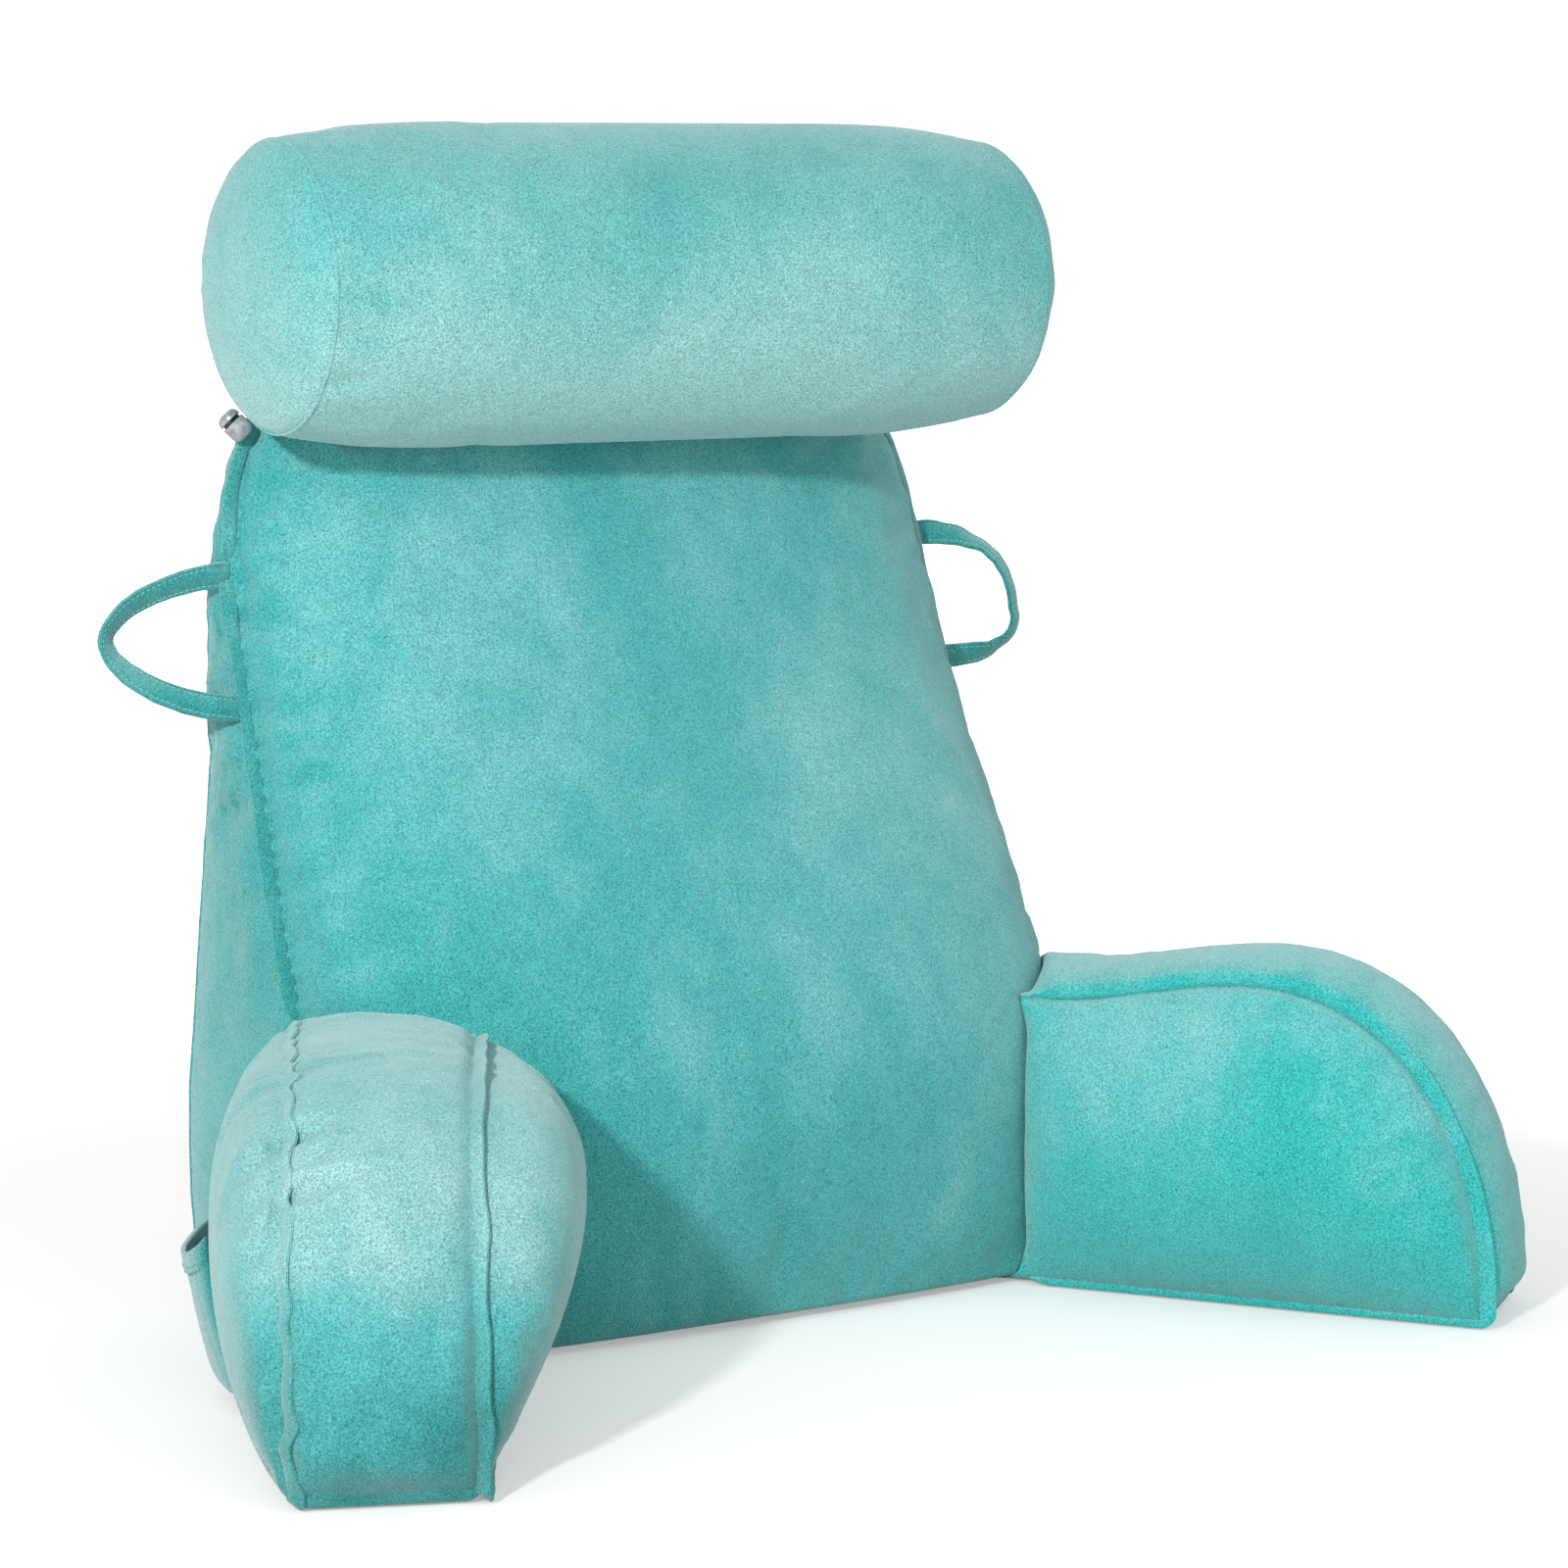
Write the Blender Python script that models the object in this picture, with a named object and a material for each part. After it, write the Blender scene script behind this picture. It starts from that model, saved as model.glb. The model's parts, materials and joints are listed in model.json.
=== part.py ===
"""Reading pillow with arms, in metres, +Z up, the sitter's side facing -Y.

A wedge-shaped back cushion stands on its flat base. Two boxed arms are sewn to its lower corners
and splay forward. A neck roll lies on the slope at the top. Two strap handles loop out of the side
seams, a patch pocket is sewn to the outer side of the left arm, and a small plastic stopper sits at
the top of the left side seam. Left and right are as seen from the front. The origin is on the
floor, in the middle of the base.
"""

import math
from collections import namedtuple

import bmesh
import bpy
from mathutils import Vector

GAP = 0.0003            # clearance between pieces that are sewn together
TRIM_GAP = 0.0005       # clearance left when a piece is trimmed against the back cushion
SEAT_GAP = 0.0014       # the same under the neck roll, where both faces are curved
TRIM_STRETCH = 2.5      # most that the gap grows where the trimmed face turns a corner
BASE_RISE = 0.002       # how far the filling under them carries all sewn outlines off the floor

# ---------------------------------------------------------------- seams
LIP_HEIGHT = 0.0060     # how far the sewn seam allowance stands out of a seam
LIP_THICK = 0.0028      # two layers of cloth
LIP_LEAST = 0.0008      # what is left of it where a seam is pressed flat
LIP_LEAN = math.radians(38)
BASE_LIP = 0.55         # height of the lips along the arms' base seams, as a share of the others

# ---------------------------------------------------------------- back cushion
# One row for each height of the side seam: half the width there, then where the front panel and
# the rear panel lie, at the seam and on the middle line.
BackRow = namedtuple("BackRow", "height half_width front_seam front_mid rear_seam rear_mid")
BACK_ROWS = (
    BackRow(0.003, 0.251, -0.078, -0.106, 0.112, 0.122),
    BackRow(0.050, 0.256, -0.060, -0.119, 0.117, 0.146),
    BackRow(0.120, 0.258, -0.033, -0.127, 0.117, 0.150),
    BackRow(0.180, 0.256, -0.012, -0.118, 0.112, 0.146),
    BackRow(0.240, 0.254, 0.009, -0.092, 0.107, 0.141),
    BackRow(0.300, 0.250, 0.034, -0.058, 0.104, 0.138),
    BackRow(0.360, 0.247, 0.058, -0.021, 0.107, 0.136),
    BackRow(0.420, 0.244, 0.078, 0.010, 0.110, 0.132),
    BackRow(0.470, 0.237, 0.090, 0.034, 0.109, 0.126),
    BackRow(0.500, 0.228, 0.095, 0.048, 0.110, 0.122),
    BackRow(0.525, 0.213, 0.099, 0.060, 0.112, 0.119),
    BackRow(0.541, 0.192, 0.102, 0.076, 0.114, 0.118),
)
BACK_TOP_RISE = 0.019   # how much higher the top edge is in the middle than at the shoulders
BACK_TOP_FRONT = 0.108
BACK_TOP_REAR = 0.120
BACK_FRONT_FULLNESS = 2.35
BACK_REAR_FULLNESS = 2.4
BACK_SIDE_CROWN = 0.004
BACK_CLOSING = 0.88     # share of the height where the panels start to close to the top seam
BACK_LIP_FROM = 0.30    # share of the height above which the side seams' lips stand free
BACK_LIP_OVER = 0.08
BACK_SIDE_FULL = (0.1, 0.7)     # shares of the height between which the side strips are full
BACK_CELLS = (20, 20)
BACK_STRIP_ROWS = 6

# ---------------------------------------------------------------- neck roll
ROLL_CENTRE = Vector((-0.0115, 0.011, 0.6018))
ROLL_TURN = math.radians(-4)        # it lies a little askew, its right end forward
ROLL_ALONG = Vector((math.cos(ROLL_TURN), math.sin(ROLL_TURN), 0))
ROLL_ACROSS = Vector((-math.sin(ROLL_TURN), math.cos(ROLL_TURN), 0))
ROLL_RADIUS = 0.0925
ROLL_SEAM_OUT = 0.233   # half the length between the end seams
ROLL_SEAM_RADIUS = 0.082
ROLL_END_BULGE = 0.028
ROLL_END_CUT = 0.22     # how far past its widest the end's round starts, as a share of the bulge
ROLL_FULL = 0.40        # share of the half length over which the roll keeps its full radius
ROLL_WAVE = 0.0008
ROLL_WAVES = 38         # turns of the wave for each metre, in radians
ROLL_SIDES = 40
ROLL_RINGS = 18
ROLL_END_RINGS = 7

# ---------------------------------------------------------------- arms
# Places on an arm are measured along it, from the back forwards, and out from its inner panel's
# floor line.
ARM_SPLAY = math.radians(31.6)
ARM_CORNER = (0.180, -0.106)        # floor corner between the back and the arm's inner panel
ARM_INNER_LENGTH = 0.290
ARM_HEIGHT = 0.191
ARM_SUMMIT = 0.145                  # how far along the highest point is
ARM_ROUND = 2.2                     # exponent of the rounded front
ARM_TURN = 0.72                     # share of the way to the tip where the top becomes the front
ARM_DIP_OVER = 0.13                 # how far behind the highest point it has sunk by its dip
ARM_LIP_FROM = 0.02                 # share of the length where lips and crown start
ARM_LIP_OVER = 0.08
ARM_STRIP_OVER = (0.1, 0.2)         # shares of the length and height over which the strip fills
ARM_PANEL_FULLNESS = 2.4
ARM_CELLS = (16, 12)
ARM_STRIP_ROWS = 6
ARM_TENON = 0.030                   # what is trimmed off against the back
# crown is how far a panel swells, foot and head how slowly it does so from the floor and the top,
# bow how far its seam plane bows outwards at half its height, tilt how far its top leans outwards.
ArmSeam = namedtuple("ArmSeam", "rear_out front_out rear_along crown foot head facing bow tilt")
# dip is how much lower an arm is at the back, strip_crown how far its strip swells.
Arm = namedtuple("Arm", "name mirror outer_length dip strip_crown inner outer")
LEFT_ARM = Arm(
    "arm_left", -1, 0.303, 0.004, 0.013,
    ArmSeam(0.008, 0.009, 0.004, 0.060, 0.92, 0.45, -1, 0.0005, 0.0045),
    ArmSeam(0.113, 0.103, -0.040, 0.0420, 0.48, 0.42, 1, 0.0045, 0.0040))
RIGHT_ARM = Arm(
    "arm_right", 1, 0.281, 0.016, 0.016,
    ArmSeam(0.008, 0.003, 0.004, 0.044, 0.80, 0.80, -1, 0.0, 0.0),
    ArmSeam(0.113, 0.097, -0.040, 0.045, 0.45, 0.42, 1, 0.0, 0.0))

# ---------------------------------------------------------------- handles
STRAP_WIDTH = 0.0150
STRAP_THICK = 0.0040
STRAP_BEVEL = 0.0012
STRAP_STEPS = 30
STRAP_ROOT_IN = 0.010               # length of each end that is trimmed off at the seam
STRAP_BEHIND = 0.0065               # how far behind the seam the ends are sewn in
Handle = namedtuple(
    "Handle", "name side high low reach heading roundness root_turn tip_turn twist")
HANDLES = (
    Handle("handle_left", -1, 0.434, 0.359, 0.074, math.radians(22), 1.9, 80, 36, 0.50),
    Handle("handle_right", 1, 0.439, 0.362, 0.057, math.radians(-25), 3.0, 84, 26, 0.28),
)

# ---------------------------------------------------------------- pocket on the left arm
POCKET_ALONG = (0.06, 0.45)         # share of the arm's outer panel that it covers, rear to front
POCKET_UP = (0.02, 0.51)            # the same, floor to top
POCKET_SAG = 0.09                   # how much lower its rim hangs in the middle, as such a share
POCKET_FULLEST = 1.3                # over 1 where it stands off most nearer its front edge
POCKET_THICK = 0.0022
POCKET_OUT = (0.0435, 0.0550)        # how far out of the arm's seam plane it stands, foot and rim
POCKET_ROUND = (1.8, 8.0)           # exponents of its swell along and up
POCKET_HEM = 0.0012                 # extra thickness of the turned hem
POCKET_CELLS = (14, 10)

# ---------------------------------------------------------------- stopper
STOPPER_LENGTH = 0.018
STOPPER_RADIUS = 0.0072
STOPPER_ROUND = 0.0045  # radius of its rounded ends
STOPPER_SLOT = 0.0018
STOPPER_SLOT_AT = 0.002
STOPPER_CORE = 0.8      # what is left between the slot's walls, as a share of the radius
STOPPER_SIDES = 24
STOPPER_STEPS = 5       # in the rounding of each end
STOPPER_AT = (-0.2350, 0.0918, 0.5215)
STOPPER_TURN = (0, math.radians(45), math.radians(-35))


# ---------------------------------------------------------------- curves and shapes
def smooth(values, place):
    """Catmull-Rom curve through evenly placed values, at a place from 0 to 1."""
    last = len(values) - 1
    step = min(int(place * last), last - 1)
    t = place * last - step
    before = values[step - 1] if step else 2 * values[0] - values[1]
    after = values[step + 2] if step + 2 <= last else 2 * values[last] - values[last - 1]
    a, b = values[step], values[step + 1]
    return 0.5 * (
        2 * a + (b - before) * t + (2 * before - 5 * a + 4 * b - after) * t * t
        + (3 * a - before - 3 * b + after) * t**3
    )


def ease(t):
    t = min(max(t, 0.0), 1.0)
    return t * t * (3 - 2 * t)


def crown(t, fullness):
    """1 in the middle and 0 at t = -1 and 1, rounder for a larger fullness."""
    return max(1 - abs(t) ** fullness, 0.0) ** (1 / fullness)


def even(count):
    """Places from 0 to 1, closer together towards both ends."""
    return [(1 - math.cos(math.pi * i / count)) / 2 for i in range(count + 1)]


def halfway_even(count):
    """As even, but with half of the crowding."""
    return [(p + i / count) / 2 for i, p in enumerate(even(count))]


# ---------------------------------------------------------------- meshes
def material(name, colour, roughness, sheen=0.0, see_through=0.0):
    made = bpy.data.materials.new(name)
    made.use_nodes = True
    shader = made.node_tree.nodes["Principled BSDF"]
    shader.inputs["Base Color"].default_value = (*colour, 1)
    shader.inputs["Roughness"].default_value = roughness
    shader.inputs["Metallic"].default_value = 0.0
    shader.inputs["Sheen Weight"].default_value = sheen
    shader.inputs["Transmission Weight"].default_value = see_through
    return made


def solid(name, points, faces, finish):
    """A mesh object from points and faces, with its faces turned outwards."""
    mesh = bpy.data.meshes.new(name)
    mesh.from_pydata([tuple(p) for p in points], [], faces)
    work = bmesh.new()
    work.from_mesh(mesh)
    bmesh.ops.recalc_face_normals(work, faces=work.faces)
    bmesh.ops.triangulate(work, faces=work.faces, quad_method="FIXED")
    work.to_mesh(mesh)
    work.free()
    mesh.shade_smooth()
    mesh.set_sharp_from_angle(angle=math.radians(50))
    mesh.materials.append(finish)
    made = bpy.data.objects.new(name, mesh)
    bpy.context.scene.collection.objects.link(made)
    return made


def rim_of(columns, rows):
    """Grid places round the edge of a panel: along the bottom, up, back along the top, down."""
    rim = [(i, 0) for i in range(columns)]
    rim += [(columns, j) for j in range(rows)]
    rim += [(columns - i, rows) for i in range(columns)]
    rim += [(0, rows - j) for j in range(rows)]
    return rim


def boxed_cushion(first, second, facing, strip_rows, strip_crown, lips):
    """Points and faces of a cushion of two panels with a strip of cloth between their rims.

    first and second are grids of points, facing is the way that the first panel looks, and
    strip_crown and lips give the strip's swelling and the seam lip's height at a place on the rim.
    """
    columns, rows = len(first) - 1, len(first[0]) - 1
    rim = rim_of(columns, rows)
    around = len(rim)
    points = [p for grid in (first, second) for column in grid for p in column]
    block = (columns + 1) * (rows + 1)

    def index(grid, place):
        return grid * block + place[0] * (rows + 1) + place[1]

    def outward(grid, k):
        ahead = grid[rim[(k + 1) % around][0]][rim[(k + 1) % around][1]]
        behind = grid[rim[k - 1][0]][rim[k - 1][1]]
        return (ahead - behind).cross(facing).normalized()

    def lip(grid, k, way):
        """Foot and two tips of the seam lip at a rim place, on the strip's side."""
        i, j = rim[k]
        seam = grid[i][j]
        out = outward(grid, k)
        lean = math.pi / 2 if j == 0 else LIP_LEAN
        stand = out * math.cos(lean) + facing * way * math.sin(lean)
        across = out * math.sin(lean) - facing * way * math.cos(lean)
        rise = stand * (LIP_LEAST + lips(i / columns, j / rows))
        foot = seam + across * LIP_THICK
        tips = (seam + rise, foot + rise)
        if j == 0:
            foot.z = 0.0
            tips[1].z = 0.0
        return foot, tips

    loops = [[index(0, place) for place in rim]]

    def add_loop(loop_points):
        loops.append(list(range(len(points), len(points) + around)))
        for p in loop_points:
            p.z = max(p.z, 0.0)
            points.append(p)

    near = [lip(first, k, 1) for k in range(around)]
    far = [lip(second, k, -1) for k in range(around)]
    add_loop([tips[0] for _, tips in near])
    add_loop([tips[1] for _, tips in near])
    add_loop([foot.copy() for foot, _ in near])
    for row in range(1, strip_rows):
        t = row / strip_rows
        loop = []
        for k in range(around):
            i, j = rim[k]
            out = (outward(first, k) + outward(second, k)).normalized()
            swell = 0.0 if j == 0 else strip_crown(i / columns, j / rows)
            loop.append(near[k][0].lerp(far[k][0], t) + out * swell * crown(2 * t - 1, 2.0))
        add_loop(loop)
    add_loop([foot.copy() for foot, _ in far])
    add_loop([tips[1] for _, tips in far])
    add_loop([tips[0] for _, tips in far])
    loops.append([index(1, place) for place in rim])

    faces = []
    for grid in (0, 1):
        for i in range(columns):
            for j in range(rows):
                corners = ((i, j), (i + 1, j), (i + 1, j + 1), (i, j + 1))
                faces.append([index(grid, c) for c in corners])
    for low, high in zip(loops, loops[1:]):
        for k in range(around):
            after = (k + 1) % around
            faces.append([low[k], low[after], high[after], high[k]])
    return points, faces


# ---------------------------------------------------------------- neck roll
def roll_radius(along):
    """Radius of the neck roll: full in the middle, drawn in at its end seams, then rounded off."""
    past = (abs(along) - ROLL_SEAM_OUT) / ROLL_END_BULGE
    if past > 0:
        start = ROLL_END_CUT / (1 + ROLL_END_CUT)
        place = min(start + past * (1 - start), 1.0)
        return ROLL_SEAM_RADIUS * math.sqrt((1 - place**2) / (1 - start**2))
    slack = max((abs(along) / ROLL_SEAM_OUT - ROLL_FULL) / (1 - ROLL_FULL), 0.0) ** 3
    wave = ROLL_WAVE * math.sin(ROLL_WAVES * along) * (1 - slack)
    return ROLL_RADIUS + wave + (ROLL_SEAM_RADIUS - ROLL_RADIUS) * slack


def roll_point(along, turn):
    radius = roll_radius(along)
    across = ROLL_ACROSS * math.cos(turn) + Vector((0, 0, 1)) * math.sin(turn)
    return ROLL_CENTRE + ROLL_ALONG * along + across * radius


def make_neck_roll(finish):
    body = [-1 + 2 * i / ROLL_RINGS for i in range(ROLL_RINGS + 1)]
    ends = [math.sin(math.pi / 2 * i / ROLL_END_RINGS) for i in range(1, ROLL_END_RINGS)]
    stations = [-ROLL_SEAM_OUT - ROLL_END_BULGE * e for e in reversed(ends)]
    stations += [ROLL_SEAM_OUT * b for b in body]
    stations += [ROLL_SEAM_OUT + ROLL_END_BULGE * e for e in ends]
    points = [roll_point(along, 2 * math.pi * k / ROLL_SIDES)
              for along in stations for k in range(ROLL_SIDES)]
    faces = []
    for s in range(len(stations) - 1):
        for k in range(ROLL_SIDES):
            after = (k + 1) % ROLL_SIDES
            a, b = s * ROLL_SIDES, (s + 1) * ROLL_SIDES
            faces.append([a + k, a + after, b + after, b + k])
    for side, first in ((-1, 0), (1, (len(stations) - 1) * ROLL_SIDES)):
        tip = len(points)
        points.append(ROLL_CENTRE + ROLL_ALONG * side * (ROLL_SEAM_OUT + ROLL_END_BULGE))
        faces += [[first + k, first + (k + 1) % ROLL_SIDES, tip] for k in range(ROLL_SIDES)]
    return solid("neck_roll", points, faces, finish)


def clear_of_roll(point):
    """The point, pushed out of the neck roll where the roll presses into the cushion."""
    along = (point - ROLL_CENTRE).dot(ROLL_ALONG)
    axis = ROLL_CENTRE + ROLL_ALONG * along
    away = point - axis
    room = roll_radius(along) + SEAT_GAP
    if 0 < away.length < room:
        return axis + away.normalized() * room
    return point


# ---------------------------------------------------------------- back cushion
def back_column(name, place):
    return smooth([getattr(row, name) for row in BACK_ROWS], place)


def back_point(across, up, panel):
    """Point of the front or rear panel, for across from -1 to 1 and up from 0 to 1."""
    x = across * back_column("half_width", up)
    z = back_column("height", up) + BACK_TOP_RISE * up**4 * (1 - abs(across) ** 4) + BASE_RISE
    seam = back_column(panel + "_seam", up)
    top = BACK_TOP_FRONT if panel == "front" else BACK_TOP_REAR
    mid = back_column(panel + "_mid", up)
    mid += (top - mid) * ease((up - BACK_CLOSING) / (1 - BACK_CLOSING))
    fullness = BACK_FRONT_FULLNESS if panel == "front" else BACK_REAR_FULLNESS
    y = seam + (mid - seam) * crown(across, fullness)
    return clear_of_roll(Vector((x, y, z)))


def back_shape():
    across = [2 * p - 1 for p in even(BACK_CELLS[0])]
    up = halfway_even(BACK_CELLS[1])
    front = [[back_point(a, b, "front") for b in up] for a in across]
    rear = [[back_point(a, b, "rear") for b in up] for a in across]

    def lips(i, j):
        """Full on the sides above the arms and over the top, pressed flat below."""
        return (LIP_HEIGHT - LIP_LEAST) * ease((j - BACK_LIP_FROM) / BACK_LIP_OVER)

    def side_crown(i, j):
        low, high = BACK_SIDE_FULL
        return BACK_SIDE_CROWN * ease(j / low) * (1 - ease((j - high) / (1 - high)))

    points, faces = boxed_cushion(
        front, rear, Vector((0, -1, 0)), BACK_STRIP_ROWS, side_crown, lips)
    return [clear_of_roll(p) for p in points], faces


def make_back(finish):
    points, faces = back_shape()
    return solid("back_cushion", points, faces, finish)


def make_back_trimmer(finish):
    """The back cushion, larger by the gap all over: it trims what is sewn to the cushion."""
    points, faces = back_shape()
    trimmer = solid("back_trimmer", points, faces, finish)
    work = bmesh.new()
    work.from_mesh(trimmer.data)
    work.normal_update()
    for vertex in work.verts:
        vertex.co += vertex.normal * TRIM_GAP * min(vertex.calc_shell_factor(), TRIM_STRETCH)
    work.to_mesh(trimmer.data)
    work.free()
    trimmer.hide_render = True
    trimmer.display_type = "WIRE"
    return trimmer


def trim(made, trimmer):
    cut = made.modifiers.new("trim", "BOOLEAN")
    cut.operation = "DIFFERENCE"
    cut.solver = "EXACT"
    cut.object = trimmer


# ---------------------------------------------------------------- arms
def panel_length(arm, seam):
    return arm.outer_length if seam.facing > 0 else ARM_INNER_LENGTH


def arm_top(arm, seam, along):
    """Height of a panel's top seam at a distance along the arm."""
    if along > ARM_SUMMIT:
        share = min((along - ARM_SUMMIT) / (panel_length(arm, seam) - ARM_SUMMIT), 1.0)
        return ARM_HEIGHT * crown(share, ARM_ROUND)
    return ARM_HEIGHT - arm.dip * ease((ARM_SUMMIT - along) / ARM_DIP_OVER)


def arm_outline(arm, seam, side, t):
    """(along, height) on one side of the panel's outline: bottom, front, top or rear."""
    length = panel_length(arm, seam)
    turn = ARM_SUMMIT + (length - ARM_SUMMIT) * ARM_TURN
    if side == "bottom":
        return seam.rear_along + (length - seam.rear_along) * t, LIP_THICK
    if side == "rear":
        return seam.rear_along, LIP_THICK + (arm_top(arm, seam, seam.rear_along) - LIP_THICK) * t
    if side == "top":
        along = seam.rear_along + (turn - seam.rear_along) * t
        return along, arm_top(arm, seam, along)
    height = LIP_THICK + (arm_top(arm, seam, turn) - LIP_THICK) * t
    share = (1 - (height / ARM_HEIGHT) ** ARM_ROUND) ** (1 / ARM_ROUND)
    return ARM_SUMMIT + (length - ARM_SUMMIT) * share, height


def arm_flat(arm, seam, a, b):
    """(along, height) inside the outline, for a from rear to front and b from floor to top."""
    bottom, top = arm_outline(arm, seam, "bottom", a), arm_outline(arm, seam, "top", a)
    rear, front = arm_outline(arm, seam, "rear", b), arm_outline(arm, seam, "front", b)
    corners = [arm_outline(arm, seam, side, t) for side, t in
               (("bottom", 0), ("bottom", 1), ("top", 0), ("top", 1))]
    return [
        (1 - b) * bottom[n] + b * top[n] + (1 - a) * rear[n] + a * front[n]
        - (1 - a) * (1 - b) * corners[0][n] - a * (1 - b) * corners[1][n]
        - (1 - a) * b * corners[2][n] - a * b * corners[3][n]
        for n in (0, 1)
    ]


def arm_swell(seam, a, b):
    """Share of the panel's crown at a place: none at its seams, and 1 at its fullest."""
    both = seam.foot + seam.head
    peak = (seam.foot / both) ** seam.foot * (seam.head / both) ** seam.head
    return b**seam.foot * (1 - b) ** seam.head / peak * crown(2 * a - 1, ARM_PANEL_FULLNESS)


def arm_point(arm, seam, a, b, lift=0.0):
    """Point of an arm's panel in the world, lifted off it by lift. A negative a is the tenon."""
    along, height = arm_flat(arm, seam, max(a, 0.0), b)
    along += min(a, 0.0) * ARM_TENON
    reach = (along - seam.rear_along) / (panel_length(arm, seam) - seam.rear_along)
    out = seam.rear_out + (seam.front_out - seam.rear_out) * ease(reach)
    share = min(height / ARM_HEIGHT, 1.0)
    out += seam.bow * crown(2 * share - 1, 2.0) + seam.tilt * share
    out += seam.facing * (seam.crown * arm_swell(seam, max(a, 0.0), b) + lift)
    x = ARM_CORNER[0] + along * math.sin(ARM_SPLAY) + out * math.cos(ARM_SPLAY)
    y = ARM_CORNER[1] - along * math.cos(ARM_SPLAY) + out * math.sin(ARM_SPLAY)
    return Vector((arm.mirror * x, y, height + BASE_RISE))


def make_arm(arm, finish, trimmer):
    along = [-1.0, *even(ARM_CELLS[0])]
    up = even(ARM_CELLS[1])
    inner = [[arm_point(arm, arm.inner, a, b) for b in up] for a in along]
    outer = [[arm_point(arm, arm.outer, a, b) for b in up] for a in along]
    facing = Vector((-arm.mirror * math.cos(ARM_SPLAY), -math.sin(ARM_SPLAY), 0))
    if arm.mirror < 0:
        inner.reverse()
        outer.reverse()

    def from_rear(i):
        return 1 - i if arm.mirror < 0 else i

    def lips(i, j):
        rear = ease((from_rear(i) - ARM_LIP_FROM) / ARM_LIP_OVER)
        return (LIP_HEIGHT - LIP_LEAST) * rear * (BASE_LIP if j == 0 else 1.0)

    def strip(i, j):
        rear = ease((from_rear(i) - ARM_LIP_FROM) / ARM_STRIP_OVER[0])
        return arm.strip_crown * rear * ease(j / ARM_STRIP_OVER[1])

    points, faces = boxed_cushion(inner, outer, facing, ARM_STRIP_ROWS, strip, lips)
    made = solid(arm.name, points, faces, finish)
    trim(made, trimmer)
    return made


# ---------------------------------------------------------------- pocket
def make_pocket(finish):
    """Patch pocket: sewn to the left arm at its sides and bottom, standing off it at its rim."""
    columns, rows = POCKET_CELLS
    skins = []
    for outside in (0, 1):
        skin = []
        for i in range(columns + 1):
            u = i / columns
            a = POCKET_ALONG[0] + (POCKET_ALONG[1] - POCKET_ALONG[0]) * u
            for j in range(rows + 1):
                v = j / rows
                rim = POCKET_UP[1] - POCKET_SAG * crown(2 * u - 1, 2.0)
                b = POCKET_UP[0] + (rim - POCKET_UP[0]) * v
                stand = POCKET_OUT[0] + (POCKET_OUT[1] - POCKET_OUT[0]) * v
                stand -= LEFT_ARM.outer.crown * arm_swell(LEFT_ARM.outer, a, b)
                stand *= crown(2 * u**POCKET_FULLEST - 1, POCKET_ROUND[0])
                stand *= crown(1 - v, POCKET_ROUND[1])
                thick = POCKET_THICK + (POCKET_HEM if j >= rows - 1 else 0.0)
                lift = 3 * GAP + stand + (thick if outside else 0.0)
                skin.append(arm_point(LEFT_ARM, LEFT_ARM.outer, a, b, lift))
        skins.append(skin)
    size = (columns + 1) * (rows + 1)
    faces = []
    for base in (0, size):
        for i in range(columns):
            for j in range(rows):
                corner = base + i * (rows + 1) + j
                faces.append([corner, corner + rows + 1, corner + rows + 2, corner + 1])
    rim = [i * (rows + 1) + j for i, j in rim_of(columns, rows)]
    for k, here in enumerate(rim):
        after = rim[(k + 1) % len(rim)]
        faces.append([here, after, after + size, here + size])
    return solid("pocket", skins[0] + skins[1], faces, finish)


# ---------------------------------------------------------------- handles
def seam_at(height, side):
    """Point of the back cushion's front side seam at a height."""
    low, high = 0.0, 1.0
    for _ in range(30):
        middle = (low + high) / 2
        if back_column("height", middle) < height:
            low = middle
        else:
            high = middle
    return back_point(side, low, "front")


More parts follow.
